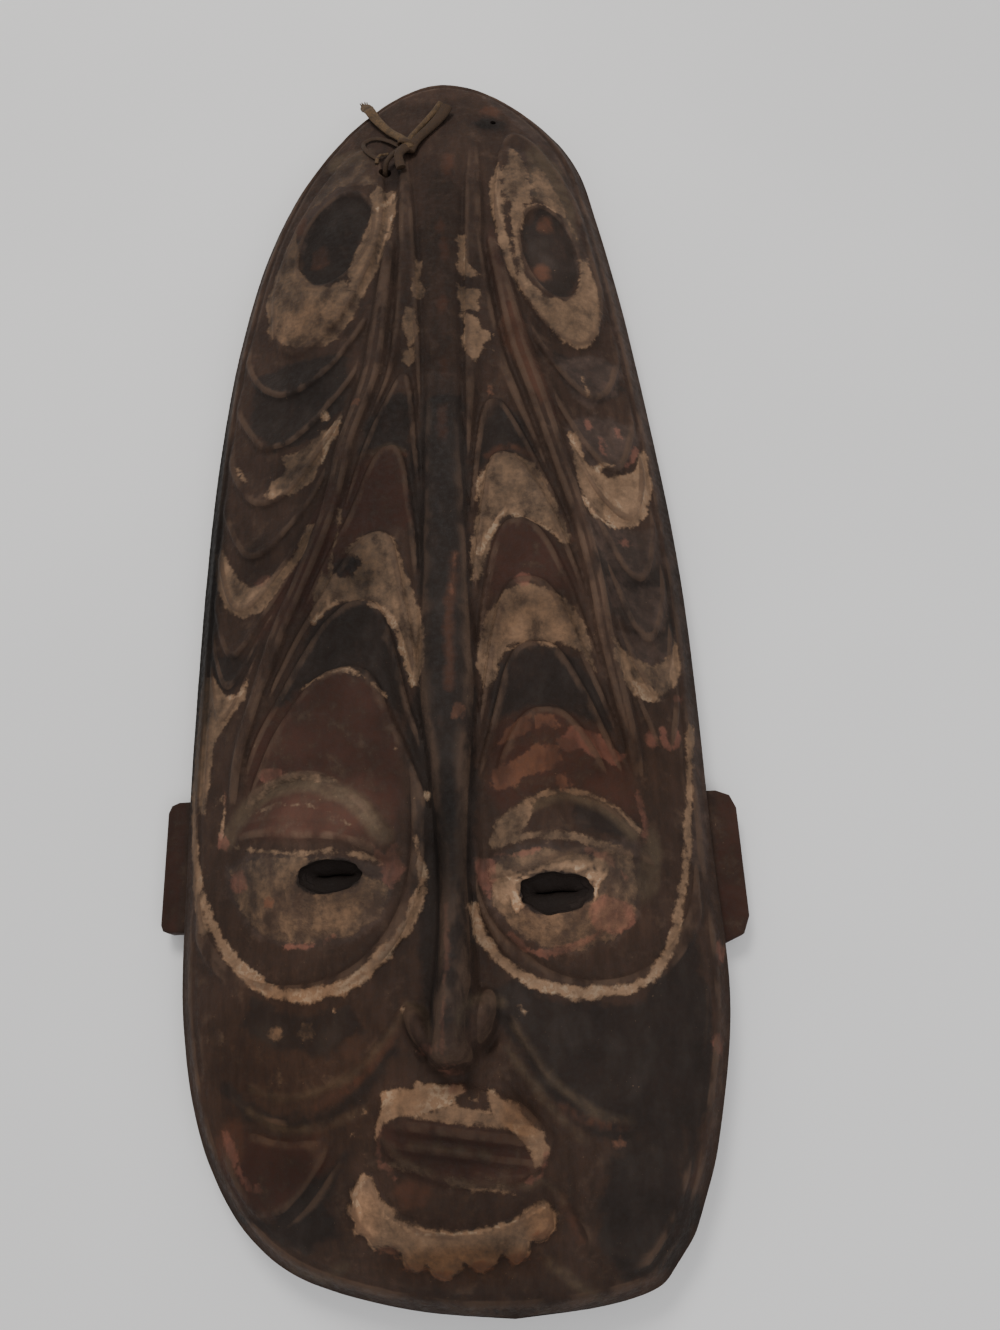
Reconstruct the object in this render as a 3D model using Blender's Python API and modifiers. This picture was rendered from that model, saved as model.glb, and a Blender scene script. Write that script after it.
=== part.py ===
import math

import bmesh
import bpy
import numpy as np
from mathutils import Vector

# An ancestor mask: a long carved wooden face, hollow behind, with a knotted cane tie at the top.
# It lies on its flat back rim. X runs to the viewer's right, Y to the top of the mask, Z out of the face.

# The mask's own sizes, in metres
MASK_LENGTH = 0.900
FACE_WIDTH = 0.336
EAR_WIDTH = 0.019
SIDE_HEIGHT = 0.034
CREST_HEIGHT = 0.080
NOSE_HEIGHT = 0.106
WALL_THICKNESS = 0.017
BACK_RIM_WIDTH = 0.018
HOLLOW_FLARE_WIDTH = 0.030

# The bevelled band round the edge
BAND_WIDTH = 0.011
BAND_DEPTH = 0.009
BAND_GROOVE_DEPTH = 0.0025
BAND_GROOVE_WIDTH = 0.006

# Heights of the carving over the plain dome, in metres
RIDGE_HEIGHT = 0.008
RIB_HEIGHT = 0.006
SCALE_HEIGHT = 0.0055
ARCH_HEIGHT = 0.0055
OVAL_HEIGHT = 0.006
PUPIL_DEPTH = 0.0035
SOCKET_DEPTH = 0.008
SOCKET_RIM_HEIGHT = 0.004
EYE_HEIGHT = 0.016
LID_HEIGHT = 0.003
CHEEK_HEIGHT = 0.004
CHEEK_GROOVE_DEPTH = 0.006
JAW_HEIGHT = 0.004
MUZZLE_HEIGHT = 0.006
LIP_HEIGHT = 0.006
COLLAR_HEIGHT = 0.004
TOOTH_HEIGHT = 0.003

# Pierced eyes: each hole is this wide and high in front, and narrows to a share of it behind
LEFT_EYE_HOLE = (0.042, 0.022)
RIGHT_EYE_HOLE = (0.048, 0.026)
EYE_HOLE_TAPER = 0.60
EYE_HOLE_SIDES = 28

# Ears: flat lugs low on the sides
EAR_THICKNESS = 0.015
EAR_CLEARANCE = 0.003
EAR_BEVEL_WIDTH = 0.003
EAR_ROOT_DEPTH = 0.012
EAR_SLANT = 1.8

# The cane tie and its holes
CANE_DIAMETER = 0.007
TIE_HOLE_CLEARANCE = 0.003
TIE_HOLE_SIDES = 16
TIE_CLEARANCE = 0.0006
LEG_LENGTH = 0.012

# How finely the front is carved before it is thinned to flat facets
ACROSS = 200
ALONG = 420
FACET_SHARE = 0.0222
EVEN_SHARE = 0.6
RIM_TOLERANCE = 0.0003

# The carving is drawn in shares of the mask's size: 900 of them make its length and 168 half its width.
# x is counted from the middle of the mask and y from the chin end.
# Half the width and the middle of the face, from the chin end to the top
OUTLINE = [(0, 0), (4, 54), (12, 86), (30, 116), (60, 138), (100, 154), (160, 166), (250, 167.5),
              (350, 168), (450, 166), (550, 159.5), (650, 148.5), (750, 130), (800, 115), (850, 86),
              (880, 56), (900, 0)]
LAST_SHARE = OUTLINE[-1][0]
ALONG_SCALE = MASK_LENGTH / LAST_SHARE
ACROSS_SCALE = FACE_WIDTH / 2 / max(half for _, half in OUTLINE)
MIDDLE = [(0, 32), (10, 28), (20, 18), (40, 10), (80, 4), (160, 1.5), (250, -0.5), (400, -0.5), (650, -2.5),
          (750, 1), (800, 6), (850, 9), (900, 10)]

# Height of the plain dome along its middle, as a share of the crest height
CREST_SHARE = [(0, 0.52), (60, 0.74), (150, 0.88), (230, 0.93), (330, 0.98), (450, 1.0), (600, 0.95),
               (750, 0.80), (850, 0.63), (900, 0.52)]
DOME_POWER = 2.2

# The black ridge down the middle: its line, half its width, and how proud it stands along its length
RIDGE_LINE = [(120, 4), (165, 8), (240, 10), (340, 9), (480, 10), (650, 11), (760, 10), (880, 9)]
RIDGE_SPREAD = [(120, 8), (165, 9), (240, 10), (300, 14), (340, 18), (400, 17), (480, 15), (580, 14),
              (680, 16), (760, 19), (850, 26)]
RIDGE_SHARE = [(110, 0.2), (150, 1.0), (450, 1.0), (600, 0.6), (760, 0.5), (860, 0.0)]

# The two sides are carved alike but not quite equal
RIGHT = {
    "sign": 1,
    "rib": [(250, 125), (300, 122), (341, 116), (382, 110), (422, 106), (470, 98), (510, 88), (560, 76),
            (600, 66), (640, 59), (700, 50)],
    "rib_half": [(250, 4), (320, 7), (380, 8), (500, 9), (600, 11), (700, 7)],
    "scales": [562, 505, 466, 422, 380, 342],
    "arches": [556, 513, 463, 421, 376, 333],
    "oval": (90, 716, 37, 109, -10),
    "pupil": (91, 701, 22, 44),
    "socket": (90, 264, 73, 102),
    "bulge": (79, 232, 56, 51),
    "lid_line": [(20, 226), (48, 231), (83, 241), (110, 240), (135, 232)],
    "eye_hole": (70, 222),
    "groove": [(30, 150), (44, 126), (58, 106), (78, 95), (102, 92), (122, 100)],
    "jaw": (104, 56, 44, 40),
    "wing": (22, 149, 14, 18),
    "teeth": (33, 602, 706, 4),
}
LEFT = {
    "sign": -1,
    "rib": [(250, -134), (300, -130), (326, -126), (359, -115), (397, -102), (428, -88), (450, -79),
            (483, -67), (530, -57), (582, -40), (627, -34), (700, -27)],
    "rib_half": [(250, 4), (320, 6), (400, 9), (500, 9), (600, 10), (700, 6)],
    "scales": [579, 537, 494, 455, 416, 386, 364],
    "arches": [581, 523, 458, 410, 366],
    "oval": (-74, 717, 40, 104, 14),
    "pupil": (-70, 721, 29, 46),
    "socket": (-86, 262, 79, 94),
    "bulge": (-80, 247, 59, 53),
    "lid_line": [(-140, 262), (-110, 265), (-84, 262), (-59, 257), (-25, 243)],
    "eye_hole": (-66, 237),
    "groove": [(-24, 150), (-40, 128), (-57, 112), (-77, 104), (-97, 105), (-116, 113), (-132, 122)],
    "jaw": (-98, 78, 42, 30),
    "wing": (-6, 149, 11, 17),
    "teeth": (-9, 604, 684, 3),
}
SOCKET_FADE = 50
RIB_ENDS = (235, 262, 690, 720)
UPPER_START = (200, 300)
UPPER_END = (745, 850)

# The laps of the scales curve up to both sides, those of the arches down, by so much and so sharply.
# The share is how much of a step lies under the level of the dome.
SCALE_BOW = (52, 2.2)
SCALE_SUNK = 0.35
SCALES_START = 300
ARCH_BOW = (-100, 2.8)
ARCH_SUNK = 0.35
ARCH_LAST = 120
EDGE_SOFTNESS = 5

# The raised ovals are narrower at the top and lower at their edge, and the pupils rise again in the middle
OVAL_NARROWING = 0.22
OVAL_EDGE_SHARE = 0.55
PUPIL_MIDDLE_SHARE = 0.7
TOOTH_BITE = 3.5

# The lower face: ovals by their centre, reach across, reach along and tilt. The mouth hangs to the right.
LOWER = {
    "cheek": (92, 165, 75, 62),
    "muzzle": (7, 84, 62, 52),
    "mouth": (10, 94, 50, 26, -9),
    "mouth_lines": ((-4, 1.0, 5), (8, 0.4, 4)),
    "chin": (7, 76, 47, 33),
    "collar": (7, 76, 61, 53),
    "under_chin": (52, 72),
    "scallops": 9,
    "scallop": 5,
}
CHIN_SHARE = 0.6
NOSE = {"top": 245, "tip": 138, "underside": 124, "reach": 14}
BRIDGE_SHARE = 0.75
WING_SHARE = 0.5

# Ears: where their upper and lower ends meet the side of the face
LEFT_EAR_ENDS = (216, 302)
RIGHT_EAR_ENDS = (194, 290)
LEFT_EAR_CORNER_WIDTH = 0.005
RIGHT_EAR_CORNER_WIDTH = 0.010

# The cane tie: each strand is a few places, with its height over the wood in cane diameters
LEFT_STRAND = [(-50, 882, 0.9), (-44, 865, 0.5), (-36, 844, 0.1), (-25, 822, 0.1), (-14, 798, 0.6)]
RIGHT_STRAND = [(18, 847, 0.3), (12, 837, 0.1), (4, 825, 0.1), (-5, 811, 0.3), (-13, 794, 0.9)]
BIGHT_STRAND = [(-10, 790, 0.6), (-22, 803, 0.4), (-36, 818, 0.2), (-46, 823, 0.1), (-55, 819, 0.1),
                (-50, 808, 0.0), (-42, 800, 0.0), (-33, 795, 0.0), (-20, 790, 0.2)]
CURL_STRAND = [(-10, 790, 0.4), (-10, 781, 0.2), (-15, 775, 0.1), (-22, 780, 0.1), (-24, 792, 0.2)]
KNOT_PLACE = (-13, 795)
KNOT_SIZE = (1.9, 2.6, 1.5)
KNOT_TURN = 35
TIE_HOLE = (-32, 784)
SPARE_HOLE = (54, 838)

# Colours
WOOD_BROWN = (0.075, 0.045, 0.030, 1.0)
CANE_BROWN = (0.180, 0.130, 0.090, 1.0)


def clear_scene():
    for old in list(bpy.data.objects):
        bpy.data.objects.remove(old, do_unlink=True)


def new_collection(name):
    group = bpy.data.collections.new(name)
    bpy.context.scene.collection.children.link(group)
    return group


def material(name, colour, roughness):
    made = bpy.data.materials.new(name)
    made.use_nodes = True
    shader = made.node_tree.nodes["Principled BSDF"]
    shader.inputs["Base Color"].default_value = colour
    shader.inputs["Roughness"].default_value = roughness
    shader.inputs["Metallic"].default_value = 0.0
    return made


def through(stations, at):
    """A smooth curve through the stations, read at the given places."""
    points = np.array(sorted(stations), float)
    places, values = points[:, 0], points[:, 1]
    slopes = np.gradient(values, places)
    at = np.clip(at, places[0], places[-1])
    low = np.clip(np.searchsorted(places, at, side="right") - 1, 0, len(places) - 2)
    gap = places[low + 1] - places[low]
    t = (at - places[low]) / gap
    curve = (2 * t ** 3 - 3 * t ** 2 + 1) * values[low] + (3 * t ** 2 - 2 * t ** 3) * values[low + 1]
    turn = (t ** 3 - 2 * t ** 2 + t) * slopes[low] + (t ** 3 - t ** 2) * slopes[low + 1]
    return curve + gap * turn


def step(start, end, value):
    """0 before start, 1 past end, smooth between."""
    t = np.clip((value - start) / (end - start), 0, 1)
    return t * t * (3 - 2 * t)


def round_share(y):
    """Turns a length along the mask into an angle share, in which its round ends are straight."""
    return np.arccos(np.clip(1 - 2 * np.asarray(y, float) / LAST_SHARE, -1, 1)) / math.pi


def half_width(y):
    return np.maximum(through([(round_share(place), half) for place, half in OUTLINE], round_share(y)), 0)


def middle(y):
    return through(MIDDLE, y)


def edge_distance(x, y):
    """How far each place on the sheet lies inside the outline."""
    along = LAST_SHARE * (1 - np.cos(np.linspace(0, math.pi, 400))) / 2
    half = half_width(along)
    rim_x = np.concatenate([middle(along) - half, middle(along) + half])
    rim_y = np.concatenate([along, along])
    flat_x, flat_y = np.ravel(x), np.ravel(y)
    nearest = np.full(flat_x.shape, 1e9)
    for place_x, place_y in zip(rim_x, rim_y):
        nearest = np.minimum(nearest, (flat_x - place_x) ** 2 + (flat_y - place_y) ** 2)
    return np.sqrt(nearest).reshape(np.shape(x))


def dome(x, y):
    """The plain swelling of the front, before any carving, in metres."""
    across = np.abs(x - middle(y)) / np.maximum(half_width(y), 8)
    crest = CREST_HEIGHT * through(CREST_SHARE, y)
    return SIDE_HEIGHT + (crest - SIDE_HEIGHT) * (1 - np.clip(across, 0, 1) ** DOME_POWER)


def ellipse(x, y, centre_x, centre_y, half_x, half_y, tilt=0.0):
    """0 at the centre of a tilted ellipse and 1 on its line."""
    turn = math.radians(tilt)
    along = (x - centre_x) * math.cos(turn) + (y - centre_y) * math.sin(turn)
    across = (y - centre_y) * math.cos(turn) - (x - centre_x) * math.sin(turn)
    return np.sqrt((along / half_x) ** 2 + (across / half_y) ** 2)


def line_distance(x, y, points):
    """Distance to a smooth line through a few points."""
    share = np.linspace(0, 1, len(points))
    fine = np.linspace(0, 1, 60)
    line_x = through(list(zip(share, [point[0] for point in points])), fine)
    line_y = through(list(zip(share, [point[1] for point in points])), fine)
    nearest = np.full(np.shape(x), 1e9)
    for place_x, place_y in zip(line_x, line_y):
        nearest = np.minimum(nearest, (x - place_x) ** 2 + (y - place_y) ** 2)
    return np.sqrt(nearest)


def band_inner(y, side):
    """The inner line of the bevelled band on one side of the sheet."""
    return middle(y) + side["sign"] * (half_width(y) - BAND_WIDTH / ACROSS_SCALE)


def ridge_edge(y, side):
    return through(RIDGE_LINE, y) + side["sign"] * through(RIDGE_SPREAD, y)


def rib_edge(y, side, outer):
    reach = through(side["rib_half"], y)
    return through(side["rib"], y) + side["sign"] * (reach if outer else -reach)


def saw(x, y, left, right, ends, bow):
    """Overlapping scales in a channel: 0 behind each edge, rising to 1 at the edge of the next."""
    bend, power = bow
    centre = (left + right) / 2
    reach = np.maximum(np.abs(right - left) / 2, 4)
    shift = bend * np.clip(np.abs(x - centre) / reach, 0, 1.2) ** power
    height = np.zeros(np.shape(x))
    for above, below in zip(ends[:-1], ends[1:]):
        share = (above + shift - y) / (above - below)
        fall = 1 - step(1 - EDGE_SOFTNESS / (above - below), 1, share)
        height = np.where((share >= 0) & (share < 1), share * fall, height)
    return height


def scale_relief(x, y, side):
    """Shingle scales down the outer channel, each lapping over the next below it."""
    inner = rib_edge(y, side, True)
    outer = band_inner(y, side)
    first = 2 * side["scales"][0] - side["scales"][1]
    last = 2 * side["scales"][-1] - side["scales"][-2]
    ends = [first] + side["scales"] + [last]
    lap = saw(x, y, inner, outer, ends, SCALE_BOW)
    inside = step(-2, 4, side["sign"] * (x - inner)) * step(0, 4, side["sign"] * (outer - x))
    inside = inside * step(SCALES_START, SCALES_START + 30, y) * (1 - step(*UPPER_END, y))
    return inside, SCALE_HEIGHT * (lap - SCALE_SUNK)


def arch_relief(x, y, side):
    """Nested arches between the ridge and the rib, each lower one lapping over the one above."""
    inner = ridge_edge(y, side)
    outer = rib_edge(y, side, False)
    first = 2 * side["arches"][0] - side["arches"][1]
    last = side["arches"][-1] - ARCH_LAST
    ends = [first] + side["arches"] + [last]
    lap = saw(x, y, inner, outer, ends, ARCH_BOW)
    inside = step(-1, 4, side["sign"] * (x - inner)) * step(-2, 4, side["sign"] * (outer - x))
    return inside * (1 - step(*UPPER_END, y)), ARCH_HEIGHT * (1 - ARCH_SUNK - lap)


def rib_relief(x, y, side):
    reach = through(side["rib_half"], y)
    across = np.abs(x - through(side["rib"], y)) / reach
    ends = step(*RIB_ENDS[:2], y) * (1 - step(*RIB_ENDS[2:], y))
    return RIB_HEIGHT * np.clip(1 - across ** 2.5, 0, 1) ** 0.7 * ends


def ridge_relief(x, y):
    across = np.abs(x - through(RIDGE_LINE, y)) / through(RIDGE_SPREAD, y)
    return RIDGE_HEIGHT * through(RIDGE_SHARE, y) * np.clip(1 - across ** 2.5, 0, 1) ** 0.5


def nose_share(x, y):
    """How far each place is lifted towards the height of the nose tip, with a wing on each side."""
    down = step(NOSE["top"], NOSE["tip"], y)
    reach = NOSE["reach"] * (BRIDGE_SHARE + (1 - BRIDGE_SHARE) * down)
    across = np.abs(x - through(RIDGE_LINE, y)) / reach
    share = down * step(NOSE["underside"], NOSE["tip"], y) * np.clip(1 - across ** 2, 0, 1) ** 0.7
    for side in (LEFT, RIGHT):
        wing = ellipse(x, y, *side["wing"])
        share = np.maximum(share, WING_SHARE * np.clip(1 - wing ** 2, 0, 1) ** 0.8)
    return share


def oval_relief(x, y, side):
    """A raised teardrop at the top, with a dished pupil."""
    centre_x, centre_y, half_x, half_y, tilt = side["oval"]
    narrow = 1 - OVAL_NARROWING * step(centre_y - 20, centre_y + half_y, y)
    away = ellipse(x, y, centre_x, centre_y, half_x * narrow, half_y, -tilt)
    height = OVAL_HEIGHT * (OVAL_EDGE_SHARE + (1 - OVAL_EDGE_SHARE) * np.clip(1 - away ** 2, 0, 1))
    pupil = ellipse(x, y, *side["pupil"], -tilt)
    dish = 1 - step(0.84, 1.02, pupil) - PUPIL_MIDDLE_SHARE * (1 - step(0.0, 0.8, pupil))
    return 1 - step(0.96, 1.04, away), height - PUPIL_DEPTH * dish


def socket_relief(x, y, side):
    """A U-shaped rim round the eye, with a channel inside it."""
    centre_x, centre_y, half_x, half_y = side["socket"]
    low = np.maximum(centre_y - y, 0) / half_y
    away = (np.abs((x - centre_x) / half_x) ** 2.2 + low ** 2.2) ** (1 / 2.2)
    fade = 1 - step(centre_y, centre_y + SOCKET_FADE, y)
    weight = (1 - step(0.99, 1.03, away)) * fade
    rim = SOCKET_RIM_HEIGHT * step(0.84, 0.91, away)
    floor = -SOCKET_DEPTH * (1 - step(0.74, 0.88, away)) * (1 - 0.8 * step(centre_y - 10, centre_y + 60, y))
    return weight, rim + floor


def eye_relief(x, y, side):
    """The swelling of the eye, with the upper lid lapping over it."""
    bulge = ellipse(x, y, *side["bulge"])
    height = EYE_HEIGHT * np.clip(1 - bulge ** 2, 0, 1) ** 0.6 - SOCKET_DEPTH
    lid = step(0, 3, y - through(side["lid_line"], x)) * (1 - step(0.92, 1.0, bulge))
    return 1 - step(0.97, 1.0, bulge), height + LID_HEIGHT * lid


def face_relief(x, y):
    """Cheeks and jaws, the muzzle, and what it carries."""
    height = np.zeros(np.shape(x))
    for side in (LEFT, RIGHT):
        groove = line_distance(x, y, side["groove"])
        cheek = ellipse(side["sign"] * x, y, *LOWER["cheek"])
        height += CHEEK_HEIGHT * np.clip(1 - cheek ** 2, 0, 1)
        height -= CHEEK_GROOVE_DEPTH * (1 - step(3, 9, groove))
        jaw = ellipse(x, y, *side["jaw"])
        height += JAW_HEIGHT * (1 - step(0.55, 1.05, jaw))
    muzzle = ellipse(x, y, *LOWER["muzzle"])
    height += MUZZLE_HEIGHT * np.clip(1 - muzzle ** 2, 0, 1)
    return height + mouth_relief(x, y) + chin_relief(x, y)


def mouth_relief(x, y):
    """Full lips, parted by a slot, with a lighter crease over it."""
    centre_x, centre_y, _, _, tilt = LOWER["mouth"]
    mouth = ellipse(x, y, *LOWER["mouth"])
    turn = math.radians(tilt)
    level = (y - centre_y) * math.cos(turn) - (x - centre_x) * math.sin(turn)
    lips = np.clip(1 - mouth ** 2, 0, 1) ** 0.5
    for line, depth, reach in LOWER["mouth_lines"]:
        lips = lips - depth * (1 - step(1.0, reach, np.abs(level - line))) * (1 - step(0.75, 0.95, mouth))
    return LIP_HEIGHT * lips


def chin_relief(x, y):
    """The bowl of the chin, with a scalloped collar round it."""
    inner = ellipse(x, y, *LOWER["chin"])
    centre_x, centre_y, reach_x, reach_y = LOWER["collar"]
    under = np.arctan2(y - centre_y, x - centre_x)
    scallop = LOWER["scallop"] * np.abs(np.sin(under * LOWER["scallops"]))
    outer = ellipse(x, y, centre_x, centre_y, reach_x + scallop, reach_y + scallop)
    below = 1 - step(*LOWER["under_chin"], y)
    collar = step(0.97, 1.03, inner) * (1 - step(0.97, 1.03, outer)) * below
    bowl = np.clip(1 - inner ** 2, 0, 1) ** 0.5 * below
    return COLLAR_HEIGHT * (collar + CHIN_SHARE * bowl)


def teeth_relief(x, y, side):
    """A notched strip beside the ridge."""
    line, low, high, count = side["teeth"]
    bite = TOOTH_BITE * np.abs(np.sin((y - low) / (high - low) * math.pi * count))
    reach = np.abs(x - line - side["sign"] * bite / 2)
    return TOOTH_HEIGHT * (1 - step(4, 7, reach)) * step(low, low + 5, y) * (1 - step(high - 5, high, y))


def front_height(x, y):
    """Height of the carved front over the back rim, in metres, at places on the sheet."""
    inset = edge_distance(x, y) * ACROSS_SCALE
    carved = np.zeros(np.shape(x))
    for side in (LEFT, RIGHT):
        here = side["sign"] * (x - through(RIDGE_LINE, y)) > 0
        for relief in (arch_relief, scale_relief):
            weight, height = relief(x, y, side)
            carved = np.where(here, carved * (1 - weight) + height * weight, carved)
        carved = np.where(here, np.maximum(carved, rib_relief(x, y, side)), carved)
        carved = np.where(here, np.maximum(carved, teeth_relief(x, y, side)), carved)
    upper = step(*UPPER_START, y)
    carved = carved * upper + face_relief(x, y) * (1 - upper)
    for side in (LEFT, RIGHT):
        for relief in (socket_relief, eye_relief, oval_relief):
            weight, height = relief(x, y, side)
            carved = carved * (1 - weight) + height * weight
    carved = np.maximum(carved, ridge_relief(x, y))
    field = step(BAND_WIDTH * 0.8, BAND_WIDTH * 1.6, inset)
    from_groove = np.abs(inset - BAND_WIDTH * 1.1)
    groove = BAND_GROOVE_DEPTH * (1 - step(0.0, BAND_GROOVE_WIDTH / 2, from_groove))
    bevel = BAND_DEPTH * (1 - step(0.0, BAND_WIDTH, inset))
    level = dome(x, y) + carved * field
    return level + (NOSE_HEIGHT - level) * nose_share(x, y) - groove - bevel


def back_height(x, y):
    """Height of the hollow over the plane of the back rim."""
    inset = edge_distance(x, y) * ACROSS_SCALE
    roof = dome(x, y) - WALL_THICKNESS
    return roof * step(BACK_RIM_WIDTH, BACK_RIM_WIDTH + HOLLOW_FLARE_WIDTH, inset)


def real_place(sheet_x, sheet_y):
    return sheet_x * ACROSS_SCALE, (sheet_y - LAST_SHARE / 2) * ALONG_SCALE


def height_at(surface, sheet_x, sheet_y):
    """The height of one of the two surfaces at a single place on the sheet."""
    return float(surface(np.array([float(sheet_x)]), np.array([float(sheet_y)]))[0])


def frozen(source, name):
    """A mesh object that holds what the source's modifiers make of it, in world space."""
    bpy.context.view_layer.update()
    seen = source.evaluated_get(bpy.context.evaluated_depsgraph_get())
    mesh = bpy.data.meshes.new_from_object(seen)
    mesh.transform(source.matrix_world)
    made = bpy.data.objects.new(name, mesh)
    bpy.data.objects.remove(source, do_unlink=True)
    return made


def welded(body):
    """Joins the loose caps of a shape that was a curve, and points its faces out."""
    shape = bmesh.new()
    shape.from_mesh(body.data)
    bmesh.ops.remove_doubles(shape, verts=shape.verts[:], dist=0.00001)
    bmesh.ops.recalc_face_normals(shape, faces=shape.faces[:])
    shape.to_mesh(body.data)
    shape.free()
    return body


def square_up(body):
    """Brings the thinned body back to its exact length, with its back rim flat."""
    along = [vertex.co.y for vertex in body.data.vertices]
    stretch = MASK_LENGTH / (max(along) - min(along))
    centre = (max(along) + min(along)) / 2
    for vertex in body.data.vertices:
        vertex.co.y = (vertex.co.y - centre) * stretch
        if abs(vertex.co.z) < RIM_TOLERANCE:
            vertex.co.z = 0.0


def carved_slab(group):
    """A grid, thickened to a slab, then shaped: its top is the face and its underside the hollow."""
    bpy.ops.mesh.primitive_grid_add(x_subdivisions=ACROSS, y_subdivisions=ALONG, size=2.0)
    slab = bpy.context.object
    shape = bmesh.new()
    shape.from_mesh(slab.data)
    grown = bmesh.ops.extrude_face_region(shape, geom=shape.faces[:])
    under = [item for item in grown["geom"] if isinstance(item, bmesh.types.BMVert)]
    for vertex in under:
        vertex.co.z = -1.0
    vertices = list(shape.verts)
    grid = np.array([vertex.co for vertex in vertices])
    share = (grid[:, 1] + 1) / 2
    along = LAST_SHARE * (EVEN_SHARE * share + (1 - EVEN_SHARE) * (1 - np.cos(math.pi * share)) / 2)
    across = middle(along) + grid[:, 0] * half_width(along)
    top = grid[:, 2] > -0.5
    height = np.where(top, front_height(across, along), back_height(across, along))
    for vertex, sheet_x, sheet_y, level in zip(vertices, across, along, height):
        vertex.co = (*real_place(sheet_x, sheet_y), level)
    bmesh.ops.remove_doubles(shape, verts=vertices, dist=0.00005)
    bmesh.ops.recalc_face_normals(shape, faces=shape.faces[:])
    shape.to_mesh(slab.data)
    shape.free()
    thin = slab.modifiers.new("facets", "DECIMATE")
    thin.ratio = FACET_SHARE
    body = frozen(slab, "slab")
    square_up(body)
    group.objects.link(body)
    return body


def ear(ends, corner, sign):
    """A flat lug with cut corners, its root sunk into the side of the face."""
    low, high = (real_place(0, end)[1] for end in ends)
    root = FACE_WIDTH / 2 - EAR_ROOT_DEPTH
    reach = FACE_WIDTH / 2 + EAR_WIDTH
    slant = corner * EAR_SLANT
    outline = [(root, low), (reach - corner, low), (reach, low + slant), (reach, high - slant),
               (reach - corner, high), (root, high)]
    curve = bpy.data.curves.new("ear", "CURVE")
    curve.dimensions = "2D"
    curve.fill_mode = "BOTH"
    curve.extrude = EAR_THICKNESS / 2
    line = curve.splines.new("POLY")
    line.points.add(len(outline) - 1)
    for target, (across, along) in zip(line.points, outline):
        target.co = (sign * across, along, 0, 1)
    line.use_cyclic_u = True
    flat = bpy.data.objects.new("ear", curve)
    flat.location.z = EAR_CLEARANCE + EAR_THICKNESS / 2
    bpy.context.scene.collection.objects.link(flat)
    body = welded(frozen(flat, "ear_left" if sign < 0 else "ear_right"))
    corners = body.modifiers.new("corners", "BEVEL")
    corners.width = EAR_BEVEL_WIDTH
    corners.segments = 2
    corners.limit_method = "ANGLE"
    return body


def move_to(group, item):
    for owner in list(item.users_collection):
        owner.objects.unlink(item)
    group.objects.link(item)


def as_cutter(item, group):
    move_to(group, item)
    item.hide_render = True
    item.display_type = "WIRE"
    return item


def eye_cutter(group, name, place, size):
    """An oval plug that has the size of the hole at the front and narrows towards the back."""
    front = height_at(front_height, *place)
    back = height_at(back_height, *place)
    spare = WALL_THICKNESS * (1 - EYE_HOLE_TAPER) / (front - back)
    bpy.ops.mesh.primitive_cone_add(vertices=EYE_HOLE_SIDES, radius1=(EYE_HOLE_TAPER - spare) / 2,
                                    radius2=(1 + spare) / 2, depth=front - back + 2 * WALL_THICKNESS)
    plug = bpy.context.object
    plug.name = name
    plug.scale = (*size, 1)
    plug.location = (*real_place(*place), (front + back) / 2)
    return as_cutter(plug, group)


def hole_cutter(group, name, place):
    radius = (CANE_DIAMETER + TIE_HOLE_CLEARANCE) / 2
    bpy.ops.mesh.primitive_cylinder_add(vertices=TIE_HOLE_SIDES, radius=radius, depth=2 * CREST_HEIGHT)
    drill = bpy.context.object
    drill.name = name
    drill.location = (*real_place(*place), CREST_HEIGHT)
    return as_cutter(drill, group)


def boolean(target, other, operation):
    cut = target.modifiers.new(other.name, "BOOLEAN")
    cut.operation = operation
    cut.object = other
    cut.solver = "EXACT"


def resting_height(sheet_x, sheet_y, reach):
    """The highest wood within reach of a place on the sheet, both in metres."""
    spread = np.linspace(-1, 1, 5) * reach
    near_x, near_y = np.meshgrid(sheet_x + spread / ACROSS_SCALE, sheet_y + spread / ALONG_SCALE)
    return float(front_height(near_x, near_y).max())


def tube(name, places):
    """A round length of cane along a few places in space."""
    curve = bpy.data.curves.new(name, "CURVE")
    curve.dimensions = "3D"
    curve.bevel_depth = CANE_DIAMETER / 2
    curve.bevel_resolution = 2
    curve.use_fill_caps = True
    share = np.linspace(0, 1, len(places))
    fine = np.linspace(0, 1, 3 * len(places) - 2)
    smooth = [through(list(zip(share, [place[axis] for place in places])), fine) for axis in range(3)]
    line = curve.splines.new("POLY")
    line.points.add(len(fine) - 1)
    for target, place in zip(line.points, zip(*smooth)):
        target.co = (*place, 1.0)
    cane = bpy.data.objects.new(name, curve)
    bpy.context.scene.collection.objects.link(cane)
    return welded(frozen(cane, name))


def strand_places(points):
    """The middle of a strand that lies on the carved front."""
    radius = CANE_DIAMETER / 2
    places = []
    for sheet_x, sheet_y, lift in points:
        level = resting_height(sheet_x, sheet_y, radius) + radius + TIE_CLEARANCE + lift * CANE_DIAMETER
        places.append((*real_place(sheet_x, sheet_y), level))
    return places


def leg_places(knot):
    """From the knot over to the hole and down through it, to end in the hollow."""
    hole = Vector((*real_place(*TIE_HOLE), resting_height(*TIE_HOLE, CANE_DIAMETER)))
    end = Vector((hole.x, hole.y, height_at(back_height, *TIE_HOLE) - LEG_LENGTH))
    top = hole + Vector((0, 0, CANE_DIAMETER * 0.6))
    return [knot, knot.lerp(top, 0.7), top, top.lerp(end, 0.3), top.lerp(end, 0.6), end]


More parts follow.
